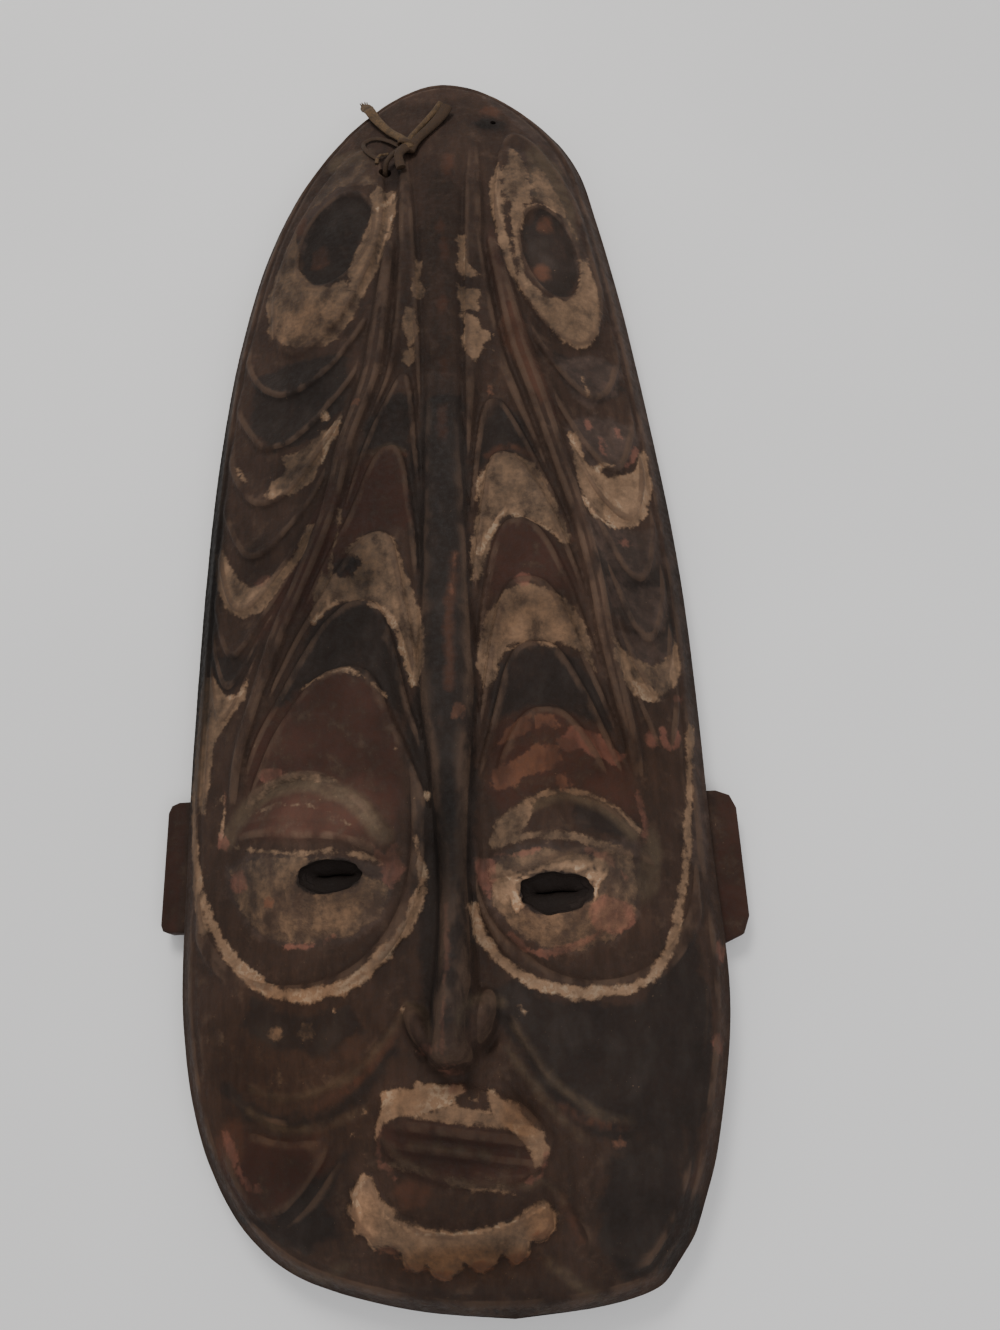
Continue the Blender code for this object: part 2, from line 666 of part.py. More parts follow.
def make_tie(parts, cutters, cane):
    """Two ends, a small bight, a curl and a leg through the hole, all held by the knot."""
    knot_size = [share * CANE_DIAMETER for share in KNOT_SIZE]
    rest = resting_height(*KNOT_PLACE, knot_size[0] / 2) + TIE_CLEARANCE
    bpy.ops.mesh.primitive_uv_sphere_add(segments=16, ring_count=10, radius=0.5)
    knot = bpy.context.object
    knot.name = "hanging_tie"
    knot.scale = knot_size
    knot.rotation_euler.z = math.radians(KNOT_TURN)
    knot.location = (*real_place(*KNOT_PLACE), rest + knot_size[2] / 2)
    bpy.ops.object.transform_apply(location=False, rotation=True, scale=True)
    move_to(parts, knot)
    strands = (("left_end", strand_places(LEFT_STRAND)), ("right_end", strand_places(RIGHT_STRAND)),
               ("bight", strand_places(BIGHT_STRAND)), ("curl", strand_places(CURL_STRAND)),
               ("leg", leg_places(knot.location.copy())))
    for name, places in strands:
        boolean(knot, as_cutter(tube(name, places), cutters), "UNION")
    knot.data.materials.append(cane)
    return knot


def make_mask(parts, cutters, wood):
    mask = carved_slab(parts)
    mask.name = "carved_mask"
    boolean(mask, as_cutter(ear(LEFT_EAR_ENDS, LEFT_EAR_CORNER_WIDTH, -1), cutters), "UNION")
    boolean(mask, as_cutter(ear(RIGHT_EAR_ENDS, RIGHT_EAR_CORNER_WIDTH, 1), cutters), "UNION")
    boolean(mask, eye_cutter(cutters, "left_eye_plug", LEFT["eye_hole"], LEFT_EYE_HOLE), "DIFFERENCE")
    boolean(mask, eye_cutter(cutters, "right_eye_plug", RIGHT["eye_hole"], RIGHT_EYE_HOLE), "DIFFERENCE")
    boolean(mask, hole_cutter(cutters, "tie_hole_drill", TIE_HOLE), "DIFFERENCE")
    boolean(mask, hole_cutter(cutters, "spare_hole_drill", SPARE_HOLE), "DIFFERENCE")
    mask.data.materials.append(wood)
    return mask


def main():
    clear_scene()
    parts = new_collection("ancestor_mask")
    cutters = new_collection("cutters")
    wood = material("painted_wood", WOOD_BROWN, 0.75)
    cane = material("split_cane", CANE_BROWN, 0.80)
    make_mask(parts, cutters, wood)
    make_tie(parts, cutters, cane)


main()
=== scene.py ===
import math

import bpy
import numpy as np
from mathutils import Matrix, Vector


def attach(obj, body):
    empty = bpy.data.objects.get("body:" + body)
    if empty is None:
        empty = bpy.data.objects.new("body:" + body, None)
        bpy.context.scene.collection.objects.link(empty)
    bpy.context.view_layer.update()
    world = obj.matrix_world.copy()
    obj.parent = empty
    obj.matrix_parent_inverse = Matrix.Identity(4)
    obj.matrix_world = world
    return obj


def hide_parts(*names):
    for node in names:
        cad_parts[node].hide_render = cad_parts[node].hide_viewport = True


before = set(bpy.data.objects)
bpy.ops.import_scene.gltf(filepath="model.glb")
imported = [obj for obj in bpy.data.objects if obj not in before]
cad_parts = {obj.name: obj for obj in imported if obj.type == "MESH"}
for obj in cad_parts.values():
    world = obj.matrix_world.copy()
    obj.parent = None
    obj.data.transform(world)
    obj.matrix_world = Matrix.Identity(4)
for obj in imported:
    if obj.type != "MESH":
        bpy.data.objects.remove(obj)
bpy.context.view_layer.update()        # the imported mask, in metres, lying on its back

# Everything carved or painted is placed in millimetres on the mask: x from its middle, y from the chin end.
mm = 0.001
faceLength = 900.0
middleY = faceLength / 2
lineReach = 30      # how far around a line its distance is worked out, and what it counts as beyond that
farAway = 99.0


def deselectAll():
    if bpy.context.object and bpy.context.object.mode != "OBJECT":
        bpy.ops.object.mode_set(mode="OBJECT")
    bpy.ops.object.select_all(action="DESELECT")


def choose(piece):
    deselectAll()
    piece.select_set(True)
    bpy.context.view_layer.objects.active = piece


def editAll():
    bpy.ops.object.mode_set(mode="EDIT")
    bpy.ops.mesh.select_all(action="SELECT")


def objectMode():
    bpy.ops.object.mode_set(mode="OBJECT")


def settle(piece):
    # the piece's place goes into its mesh
    choose(piece)
    bpy.ops.object.transform_apply(location=True, rotation=True, scale=True)


def applyModifier(piece, modifier):
    choose(piece)
    bpy.ops.object.modifier_apply(modifier=modifier.name)


def boolean(piece, tool, operation):
    cut = piece.modifiers.new("cut", "BOOLEAN")
    cut.operation = operation
    cut.solver = "EXACT"
    cut.object = tool
    applyModifier(piece, cut)
    bpy.data.objects.remove(tool, do_unlink=True)


def points(piece):
    places = np.empty(len(piece.data.vertices) * 3, np.float32)
    piece.data.vertices.foreach_get("co", places)
    return places.reshape(-1, 3).astype(float)


def movePoints(piece, places):
    piece.data.vertices.foreach_set("co", np.ascontiguousarray(places, np.float32).ravel())
    piece.data.update()


def through(stations, at):
    # a smooth curve through a few stations
    known = np.array(sorted(stations), float)
    places, values = known[:, 0], known[:, 1]
    slopes = np.gradient(values, places)
    at = np.clip(at, places[0], places[-1])
    low = np.clip(np.searchsorted(places, at, side="right") - 1, 0, len(places) - 2)
    gap = places[low + 1] - places[low]
    t = (at - places[low]) / gap
    curve = (2 * t ** 3 - 3 * t ** 2 + 1) * values[low] + (3 * t ** 2 - 2 * t ** 3) * values[low + 1]
    turn = (t ** 3 - 2 * t ** 2 + t) * slopes[low] + (t ** 3 - t ** 2) * slopes[low + 1]
    return curve + gap * turn


def rise(start, end, value):
    # 0 before start, 1 past end, smooth between
    t = np.clip((value - start) / (end - start), 0, 1)
    return t * t * (3 - 2 * t)


def betweenCells(table, cellX, cellY, partX, partY):
    # the value between four neighbours of a table that repeats
    across, along = table.shape
    nextX, nextY = (cellX + 1) % across, (cellY + 1) % along
    cellX, cellY = cellX % across, cellY % along
    low = table[cellX, cellY] * (1 - partX) + table[nextX, cellY] * partX
    high = table[cellX, nextY] * (1 - partX) + table[nextX, nextY] * partX
    return low * (1 - partY) + high * partY


def lumps(x, y, size, seed):
    # gentle unevenness between -1 and 1, the same on every run
    cells, shiftX, shiftY = 97, 31.7, 17.3
    table = np.random.default_rng(seed).uniform(-1, 1, (cells, cells))
    gridX, gridY = x / size + shiftX, y / size + shiftY
    cellX, cellY = np.floor(gridX).astype(int), np.floor(gridY).astype(int)
    return betweenCells(table, cellX, cellY, rise(0, 1, gridX - cellX), rise(0, 1, gridY - cellY))


def smoothLine(places, count=24):
    # a smooth line through places in two or three directions
    share = np.linspace(0, 1, len(places))
    fine = np.linspace(0, 1, count)
    return np.stack([through(list(zip(share, values)), fine) for values in zip(*places)], 1)


def nearLine(x, y, places, smoothed=True):
    # distance in millimetres to a line through a few places
    line = smoothLine(places) if smoothed else np.array(places, float)
    away = np.full(x.shape, farAway)
    near = (x > line[:, 0].min() - lineReach) & (x < line[:, 0].max() + lineReach)
    near &= (y > line[:, 1].min() - lineReach) & (y < line[:, 1].max() + lineReach)
    if not near.any():
        return away
    px, py = x[near], y[near]
    best = np.full(px.shape, 1e9)
    for start, end in zip(line[:-1], line[1:]):
        alongX, alongY = end - start
        t = ((px - start[0]) * alongX + (py - start[1]) * alongY) / max(alongX ** 2 + alongY ** 2, 1e-9)
        t = np.clip(t, 0, 1)
        best = np.minimum(best, (px - start[0] - t * alongX) ** 2 + (py - start[1] - t * alongY) ** 2)
    away[near] = np.sqrt(best)
    return away


def insidePatch(x, y, *corners):
    # distance in millimetres to the edge of a patch: positive inside it, negative outside
    edge = np.array(corners, float)
    away = -nearLine(x, y, [*corners, corners[0]], smoothed=False)
    inside = np.zeros(x.shape, bool)
    for start, end in zip(edge, np.roll(edge, -1, axis=0)):
        if start[1] == end[1]:
            continue
        spans = (start[1] > y) != (end[1] > y)
        crossing = start[0] + (y - start[1]) / (end[1] - start[1]) * (end[0] - start[0])
        inside ^= spans & (x < crossing)
    return np.where(inside, -away, away)


def insideLine(x, y, width, *places):
    return width / 2 - nearLine(x, y, places)


def insideSpot(x, y, centreX, centreY, halfX, halfY):
    return (1 - oval(x, y, centreX, centreY, halfX, halfY)) * min(halfX, halfY)


def oval(x, y, centreX, centreY, halfX, halfY, tilt=0.0):
    # 0 at the centre of a tilted oval and 1 on its line
    turn = math.radians(tilt)
    along = (x - centreX) * math.cos(turn) + (y - centreY) * math.sin(turn)
    across = (y - centreY) * math.cos(turn) - (x - centreX) * math.sin(turn)
    return np.sqrt((along / halfX) ** 2 + (across / halfY) ** 2)


# The carving. Heights are in millimetres over the flat back rim.
maskForm = dict(
    cellsAcross=250, cellsAlong=680, evenShare=0.85, wallSteps=3, triangles=184000, backTriangles=15000,
    fieldCell=0.8, softness=0.9,
    sideHeight=34.0, sideWander=0.4, crestHeight=80.0, noseHeight=105.5, domePower=2.2,
    wall=17.0, backRim=18.0, hollowFlare=30.0, bandWidth=11.0, bandDrop=9.0, bandGroove=2.5,
    ridgeRise=8.0, ribRise=6.5, ribEnds=(235, 262, 690, 720), ribCrown=(0.35, 1.05), ribLine=(1.1, 0.22, 640),
    scaleStep=7.0, scaleBow=(52, 2.2), scalesStart=(300, 330), archStep=7.0, archBow=(-100, 2.8),
    archLast=120, channelsEnd=(745, 850), lapSunk=0.35, lapFall=2.6, lapPower=1.15, edgeWander=1.6,
    ovalRise=6.0, pupilDepth=3.5, ovalRing=0.7, socketDepth=8.0, rimRise=4.5,
    eyeRise=16.0, lidStep=3.0, lidBand=1.3, foldDepth=0.9,
    cheekRise=4.0, cheekGroove=7.0, grooveDepths=(1.0, 0.8), grooveReaches=(6.0, 5.0), grooveFade=(3, 34),
    jawRise=4.0, jawLine=2.6, muzzleRise=6.0, lipRise=6.5, collarRise=3.6, toothRise=2.6, toothBite=3.5,
    nostrilDepth=3.0, faceBlend=(200, 300),
    outline=[(0, 0), (4, 54), (12, 86), (30, 116), (60, 138), (100, 154), (160, 166), (250, 167.5),
             (350, 168), (450, 166), (550, 159.5), (650, 148.5), (750, 130), (800, 115), (850, 86),
             (880, 56), (900, 0)],
    middle=[(0, 32), (10, 28), (20, 18), (40, 10), (80, 4), (160, 1.5), (250, -0.5), (400, -0.5),
            (650, -2.5), (750, 1), (800, 6), (850, 9), (900, 10)],
    crest=[(0, 0.52), (60, 0.74), (150, 0.88), (230, 0.93), (330, 0.98), (450, 1.0), (600, 0.95),
           (750, 0.80), (850, 0.63), (900, 0.52)],
    ridgeLine=[(120, 4), (165, 8), (240, 10), (340, 9), (480, 10), (650, 11), (760, 10), (880, 9)],
    ridgeHalf=[(120, 8), (165, 9), (240, 10), (300, 14), (340, 18), (400, 17), (480, 15), (580, 14),
               (680, 16), (760, 19), (850, 26)],
    ridgeShare=[(110, 0.2), (150, 1.0), (450, 1.0), (600, 0.6), (760, 0.5), (860, 0.0)],
)
rightSide = dict(
    sign=1,
    rib=[(250, 125), (300, 122), (341, 116), (382, 110), (422, 106), (470, 98), (510, 88), (560, 76),
         (600, 66), (640, 59), (700, 50)],
    ribHalf=[(250, 4), (320, 7), (380, 8), (500, 9), (600, 11), (700, 7)],
    scales=[562, 505, 466, 422, 380, 342],
    arches=[556, 513, 463, 421, 376, 333],
    oval=(90, 716, 37, 109, -10),
    pupil=(92, 694, 21, 45),
    socket=(90, 264, 73, 102),
    eyeball=(79, 232, 56, 51),
    lidLine=[(20, 226), (48, 231), (83, 241), (110, 240), (135, 232)],
    lidArc=[(34, 262), (46, 272), (62, 280), (78, 282), (95, 277), (108, 268), (118, 257)],
    folds=[[(46, 250), (64, 256), (84, 258), (104, 254)]],
    eyeHole=(68.5, 221, 21.5, 11.8),
    grooves=[[(34, 150), (44, 130), (58, 111), (78, 97), (98, 94), (112, 97)],
             [(34, 128), (46, 113), (60, 97), (76, 85), (92, 82)]],
    jaw=(104, 56, 44, 40),
    jawLines=[[(56, 66), (64, 52), (70, 40), (66, 28)]],
    wing=(21, 153, 19, 10, 66),
    teeth=(33, 602, 706, 4),
)
leftSide = dict(
    sign=-1,
    rib=[(250, -134), (300, -130), (326, -126), (359, -115), (397, -102), (428, -88), (450, -79),
         (483, -67), (530, -57), (582, -40), (627, -34), (700, -27)],
    ribHalf=[(250, 4), (320, 6), (400, 9), (500, 9), (600, 10), (700, 6)],
    scales=[579, 537, 494, 455, 416, 386, 364],
    arches=[581, 523, 458, 410, 366],
    oval=(-74, 717, 40, 104, 14),
    pupil=(-70, 719, 29, 47),
    socket=(-86, 262, 79, 94),
    eyeball=(-80, 247, 59, 53),
    lidLine=[(-140, 262), (-110, 262), (-84, 258), (-59, 255), (-25, 241)],
    lidArc=[(-133, 268), (-120, 287), (-100, 298), (-82, 300), (-62, 293), (-44, 279), (-28, 256)],
    folds=[[(-139, 266), (-100, 263), (-75, 259), (-51, 255), (-36, 249), (-26, 243)],
           [(-130, 260), (-113, 257), (-84, 253), (-67, 252), (-48, 249), (-30, 241)],
           [(-122, 272), (-96, 272), (-70, 267), (-48, 261)]],
    eyeHole=(-64.5, 237, 19.2, 9.8),
    grooves=[[(-24, 152), (-40, 133), (-57, 120), (-77, 112), (-97, 112), (-116, 119), (-128, 128)],
             [(-38, 116), (-52, 106), (-70, 100), (-90, 98), (-108, 102), (-126, 110)]],
    jaw=(-98, 78, 42, 30),
    jawLines=[[(-57, 96), (-67, 80), (-80, 64), (-96, 53), (-114, 50)],
              [(-66, 52), (-74, 42), (-88, 34), (-54, 25), (-28, 15)]],
    wing=(-10, 148, 18, 8.5, 124),
    teeth=(-9, 604, 684, 3),
)
lowerFace = dict(
    cheek=(92, 165, 75, 62),
    muzzle=(7, 84, 62, 52),
    mouth=(10, 94, 50, 26, -9),
    mouthLines=[(7, 0.20, 2.6), (-4, 0.34, 4.0), (-13, 0.22, 3)],
    chin=(7, 78, 46, 32),
    noseTop=245, noseTip=138, noseUnder=125, noseHalf=14,
    nostrils=[(27, 141, 9, 5, 50), (-12, 137, 8, 4.5, 130)],
)


def halfWidth(y):
    def endShare(at):
        return np.arccos(np.clip(1 - 2 * np.asarray(at, float) / faceLength, -1, 1)) / math.pi
    stations = [(float(endShare(place)), half) for place, half in maskForm["outline"]]
    return np.maximum(through(stations, endShare(y)), 0)


def middleX(y):
    return through(maskForm["middle"], y)


def edgeDistance(x, y):
    along = faceLength * (1 - np.cos(np.linspace(0, math.pi, 260))) / 2
    half = halfWidth(along)
    centre = middleX(along)
    nearest = np.full(x.shape, 1e9)
    for centreX, reach, placeY in zip(centre, half, along):
        close = np.abs(y - placeY) < 60
        across = np.abs(np.abs(x[close] - centreX) - reach)
        nearest[close] = np.minimum(nearest[close], across ** 2 + (y[close] - placeY) ** 2)
    return np.sqrt(nearest)


def dome(x, y):
    across = np.abs(x - middleX(y)) / np.maximum(halfWidth(y), 8)
    crest = maskForm["crestHeight"] * through(maskForm["crest"], y)
    side = maskForm["sideHeight"]
    return side + (crest - side) * (1 - np.clip(across, 0, 1) ** maskForm["domePower"])


def bandInner(y, side):
    return middleX(y) + side["sign"] * (halfWidth(y) - maskForm["bandWidth"])


def ridgeEdge(y, side):
    return through(maskForm["ridgeLine"], y) + side["sign"] * through(maskForm["ridgeHalf"], y)


def ribEdge(y, side, outward):
    return through(side["rib"], y) + side["sign"] * outward * through(side["ribHalf"], y)


def laps(x, y, inner, outer, bow, ends, size, seed):
    # lapping edges, bowed across their channel: each rises from 0 to 1 and falls off shortly
    reach = np.maximum(np.abs(outer - inner) / 2, 4)
    shift = bow[0] * np.clip(np.abs(x - (inner + outer) / 2) / reach, 0, 1.2) ** bow[1]
    along = y + maskForm["edgeWander"] * lumps(x, y, size, seed)
    height = np.zeros(y.shape)
    for above, below in zip(ends[:-1], ends[1:]):
        share = (above + shift - along) / (above - below)
        fall = 1 - rise(1 - maskForm["lapFall"] / (above - below), 1, share)
        lift = np.clip(share, 0, 1) ** maskForm["lapPower"] * fall
        height = np.where((share >= 0) & (share < 1), lift, height)
    return height


def scaleRelief(x, y, side):
    # shingle scales down the outer channel, each over the next below it
    sign, ends = side["sign"], side["scales"]
    inner, outer = ribEdge(y, side, 1), bandInner(y, side)
    ends = [2 * ends[0] - ends[1]] + ends + [2 * ends[-1] - ends[-2]]
    lap = laps(x, y, inner, outer, maskForm["scaleBow"], ends, 17, 11)
    inside = rise(-2, 3, sign * (x - inner)) * rise(0, 3, sign * (outer - x))
    inside = inside * rise(*maskForm["scalesStart"], y) * (1 - rise(*maskForm["channelsEnd"], y))
    return inside, maskForm["scaleStep"] * (lap - maskForm["lapSunk"])


def archRelief(x, y, side):
    # nested arches between the ridge and the rib, each over the one above it
    sign, ends = side["sign"], side["arches"]
    inner, outer = ridgeEdge(y, side), ribEdge(y, side, -1)
    ends = [2 * ends[0] - ends[1]] + ends + [ends[-1] - maskForm["archLast"]]
    lap = laps(x, y, inner, outer, maskForm["archBow"], ends, 19, 12)
    inside = rise(-1, 3, sign * (x - inner)) * rise(-2, 3, sign * (outer - x))
    inside = inside * (1 - rise(*maskForm["channelsEnd"], y))
    return inside, maskForm["archStep"] * (1 - maskForm["lapSunk"] - lap)


def ribRelief(x, y, side):
    across = np.abs(x - through(side["rib"], y)) / through(side["ribHalf"], y)
    start, full, fade, end = maskForm["ribEnds"]
    ends = rise(start, full, y) * (1 - rise(fade, end, y))
    crown = 1 - rise(*maskForm["ribCrown"], across)
    # a shallow line runs down the middle of each rib
    depth, reach, top = maskForm["ribLine"]
    return (maskForm["ribRise"] * crown - depth * (1 - rise(0.0, reach, across)) * (y < top)) * ends


def ridgeRelief(x, y):
    across = np.abs(x - through(maskForm["ridgeLine"], y)) / through(maskForm["ridgeHalf"], y)
    crown = np.clip(1 - across ** 2.5, 0, 1) ** 0.5
    return maskForm["ridgeRise"] * through(maskForm["ridgeShare"], y) * crown


def noseShare(x, y):
    down = rise(lowerFace["noseTop"], lowerFace["noseTip"], y)
    across = np.abs(x - through(maskForm["ridgeLine"], y)) / (lowerFace["noseHalf"] * (0.7 + 0.3 * down))
    under = rise(lowerFace["noseUnder"], lowerFace["noseTip"], y)
    share = down * under * np.clip(1 - across ** 2, 0, 1) ** 0.7
    for side in (leftSide, rightSide):
        wing = oval(x, y, *side["wing"])
        share = np.maximum(share, 0.5 * np.clip(1 - wing ** 2, 0, 1) ** 0.7)
    return share


def nostrils(x, y):
    # dark hollows on the under side of the wings
    dip = np.zeros(x.shape)
    for place in lowerFace["nostrils"]:
        dip = np.maximum(dip, 1 - rise(0.2, 1.0, oval(x, y, *place)))
    return dip


def ovalRelief(x, y, side):
    centreX, centreY, halfX, halfY, tilt = side["oval"]
    narrow = 1 - 0.22 * rise(centreY - 20, centreY + halfY, y)
    away = oval(x + 1.2 * lumps(x, y, 23, 5), y, centreX, centreY, halfX * narrow, halfY, -tilt)
    height = maskForm["ovalRise"] * (0.55 + 0.45 * np.clip(1 - away ** 2, 0, 1))
    pupil = oval(x, y, *side["pupil"], -tilt)
    dish = 1 - rise(0.88, 1.0, pupil) - 0.7 * (1 - rise(0.0, 0.8, pupil))
    ring = 1 - rise(0.0, 0.035, np.abs(pupil - 1.1))
    return 1 - rise(0.97, 1.03, away), height - maskForm["pupilDepth"] * dish - maskForm["ovalRing"] * ring


def socketRelief(x, y, side):
    centreX, centreY, halfX, halfY = side["socket"]
    low = np.maximum(centreY - y, 0) / halfY
    away = (np.abs((x - centreX) / halfX) ** 2.2 + low ** 2.2) ** (1 / 2.2)
    weight = (1 - rise(0.99, 1.03, away)) * (1 - rise(centreY, centreY + 50, y))
    rim = maskForm["rimRise"] * rise(0.87, 0.92, away)
    deep = (1 - rise(0.76, 0.90, away)) * (1 - 0.8 * rise(centreY - 10, centreY + 60, y))
    return weight, rim - maskForm["socketDepth"] * deep


def eyeRelief(x, y, side):
    ball = oval(x, y, *side["eyeball"])
    height = maskForm["eyeRise"] * np.clip(1 - ball ** 2, 0, 1) ** 0.6 - maskForm["socketDepth"]
    over = y - through(side["lidLine"], x)
    lid = rise(0, 2.5, over) * (1 - rise(0.92, 1.0, ball))
    height = height + maskForm["lidStep"] * lid
    fold = 0
    for line in side["folds"]:
        fold = fold + 1 - rise(0.4, 2.0, nearLine(x, y, line))
    band = 1 - rise(3.0, 4.4, nearLine(x, y, side["lidArc"]))
    return 1 - rise(0.97, 1.0, ball), height - maskForm["foldDepth"] * fold * (ball < 0.97), band


def faceRelief(x, y):
    height = np.zeros(x.shape)
    for side in (leftSide, rightSide):
        cheek = oval(side["sign"] * x, y, *lowerFace["cheek"])
        height += maskForm["cheekRise"] * np.clip(1 - cheek ** 2, 0, 1)
        for groove, depth, reach in zip(side["grooves"], maskForm["grooveDepths"], maskForm["grooveReaches"]):
            endX, endY = groove[-1]
            left = rise(*maskForm["grooveFade"], np.hypot(x - endX, y - endY))
            height -= maskForm["cheekGroove"] * depth * left * (1 - rise(0.8, reach, nearLine(x, y, groove)))
        height += maskForm["jawRise"] * (1 - rise(0.62, 1.05, oval(x, y, *side["jaw"])))
        for line in side["jawLines"]:
            height -= maskForm["jawLine"] * (1 - rise(0.8, 4.5, nearLine(x, y, line)))
    muzzle = oval(x, y, *lowerFace["muzzle"])
    height += maskForm["muzzleRise"] * np.clip(1 - muzzle ** 2, 0, 1)
    return height + mouthRelief(x, y) + chinRelief(x, y)


def mouthLevel(x, y):
    centreX, centreY, _, _, tilt = lowerFace["mouth"]
    turn = math.radians(tilt)
    return (y - centreY) * math.cos(turn) - (x - centreX) * math.sin(turn)


def mouthRelief(x, y):
    mouth = oval(x, y, *lowerFace["mouth"])
    lips = np.clip(1 - mouth ** 2, 0, 1) ** 0.5
    fade = 1 - rise(0.72, 0.95, mouth)
    level = mouthLevel(x, y)
    for line, depth, reach in lowerFace["mouthLines"]:
        lips = lips - depth * (1 - rise(0.6, reach, np.abs(level - line))) * fade
    return maskForm["lipRise"] * lips


# The collar's lower edge, from its left horn round to its right one
collarEdge = [(-46, 76), (-54, 68), (-53, 63), (-57, 58), (-52, 53), (-52, 47), (-46, 45), (-42, 39),
              (-34, 40), (-27, 37), (-25, 30), (-19, 26), (-13, 30), (-10, 25), (-3, 22), (5, 25),
              (8, 30), (16, 26), (25, 30), (28, 34), (35, 29), (41, 33), (43, 40), (51, 40), (57, 46),
              (57, 54), (52, 61), (44, 57), (34, 51), (20, 47), (4, 46), (-14, 49), (-27, 55), (-36, 64),
              (-41, 75)]


def chinRelief(x, y):
    below = 1 - rise(56, 76, y)
    chin = oval(x, y, *lowerFace["chin"])
    bowl = np.clip(1 - chin ** 2, 0, 1) ** 0.5 * below
    collar = rise(-0.8, 1.4, insidePatch(x, y, *collarEdge))
    return maskForm["collarRise"] * (collar + 0.7 * bowl)


def teethRelief(x, y, side):
    line, low, high, count = side["teeth"]
    bite = maskForm["toothBite"] * np.abs(np.sin((y - low) / (high - low) * math.pi * count))
    across = np.abs(x - line - side["sign"] * bite / 2)
    ends = rise(low, low + 5, y) * (1 - rise(high - 5, high, y))
    return maskForm["toothRise"] * (1 - rise(4, 7, across)) * ends


def carvedHeight(x, y):
    inside = (np.abs(x - middleX(y)) < halfWidth(y)) & (y > 0) & (y < faceLength)
    inset = np.where(inside, edgeDistance(x, y), 0.0)
    carved = np.zeros(x.shape)
    for side in (leftSide, rightSide):
        here = side["sign"] * (x - through(maskForm["ridgeLine"], y)) > 0
        for relief in (archRelief, scaleRelief):
            weight, height = relief(x, y, side)
            carved = np.where(here, carved * (1 - weight) + height * weight, carved)
        for relief in (ribRelief, teethRelief):
            carved = np.where(here, np.maximum(carved, relief(x, y, side)), carved)
    upper = rise(*maskForm["faceBlend"], y)
    carved = carved * upper + faceRelief(x, y) * (1 - upper)
    for side in (leftSide, rightSide):
        weight, height = socketRelief(x, y, side)
        carved = carved * (1 - weight) + height * weight
        weight, height, band = eyeRelief(x, y, side)
        carved = carved * (1 - weight) + height * weight + maskForm["lidBand"] * band
        weight, height = ovalRelief(x, y, side)
        carved = carved * (1 - weight) + height * weight
    carved = np.maximum(carved, ridgeRelief(x, y))
    field = rise(maskForm["bandWidth"] * 0.8, maskForm["bandWidth"] * 1.5, inset)
    fromGroove = np.abs(inset - maskForm["bandWidth"] * 1.1)
    groove = maskForm["bandGroove"] * (1 - rise(0.3, 2.6, fromGroove)) * (0.35 + 0.65 * rise(150, 330, y))
    bevel = maskForm["bandDrop"] * (1 - rise(0.0, maskForm["bandWidth"], inset))
    level = dome(x, y) + carved * field
    level = level + (maskForm["noseHeight"] - level) * noseShare(x, y)
    level = level - maskForm["nostrilDepth"] * nostrils(x, y)
    return level - groove - bevel


def blurred(field, spread):
    cell = maskForm["fieldCell"]
    reach = int(3 * spread / cell) + 1
    weights = np.exp(-0.5 * (np.arange(-reach, reach + 1) * cell / spread) ** 2)
    weights /= weights.sum()
    for axis in (0, 1):
        padded = np.pad(field, [(reach, reach) if axis == k else (0, 0) for k in (0, 1)], mode="edge")
        size = field.shape[axis]
        field = sum(weight * np.take(padded, range(number, number + size), axis)
                    for number, weight in enumerate(weights))
    return field


# The carved surface is worked out once on a fine grid, softened as old paint softens it, and read from there
fieldX = np.arange(-177.0, 177.0, maskForm["fieldCell"])
fieldY = np.arange(-6.0, 906.0, maskForm["fieldCell"])

# What the knife and the years left: the height of each kind of mark, its size, how long it is and its seed
wear = dict(
    front=[(0.45, 41, 1.0, 1), (0.30, 13, 0.5, 2), (0.14, 5.5, 0.6, 3)],
    back=[(0.9, 9, 0.35, 21), (0.8, 27, 1.0, 22)],
    dents=(0.5, 9, 1.0, 4), dentsOver=0.62,
)


def marks(x, y, height, size, stretch, seed):
    return height * lumps(x, y * stretch, size, seed)


def makeSurface():
    x, y = np.meshgrid(fieldX, fieldY, indexing="ij")
    surface = blurred(carvedHeight(x, y), maskForm["softness"])
    surface += sum(marks(x, y, *mark) for mark in wear["front"])
    deep = wear["dents"][0]
    surface -= np.maximum(marks(x, y, *wear["dents"]) - deep * wear["dentsOver"], 0)
    return surface


def readField(field, x, y):
    partX = np.clip((x - fieldX[0]) / maskForm["fieldCell"], 0, len(fieldX) - 1.001)
    partY = np.clip((y - fieldY[0]) / maskForm["fieldCell"], 0, len(fieldY) - 1.001)
    cellX, cellY = partX.astype(int), partY.astype(int)
    return betweenCells(field, cellX, cellY, partX - cellX, partY - cellY)


surfaceField = makeSurface()
hollowField = blurred(surfaceField, 2.6) - surfaceField
print("the surface is worked out")


def frontHeight(x, y):
    return readField(surfaceField, np.asarray(x, float), np.asarray(y, float))


def backHeight(x, y):
    inset = edgeDistance(x, y)
    roof = dome(x, y) - maskForm["wall"]
    inside = rise(maskForm["backRim"], maskForm["backRim"] + maskForm["hollowFlare"], inset)
    gouge = sum(marks(x, y, *mark) for mark in wear["back"])
    return roof * inside + gouge * rise(0.05, 0.5, inside)


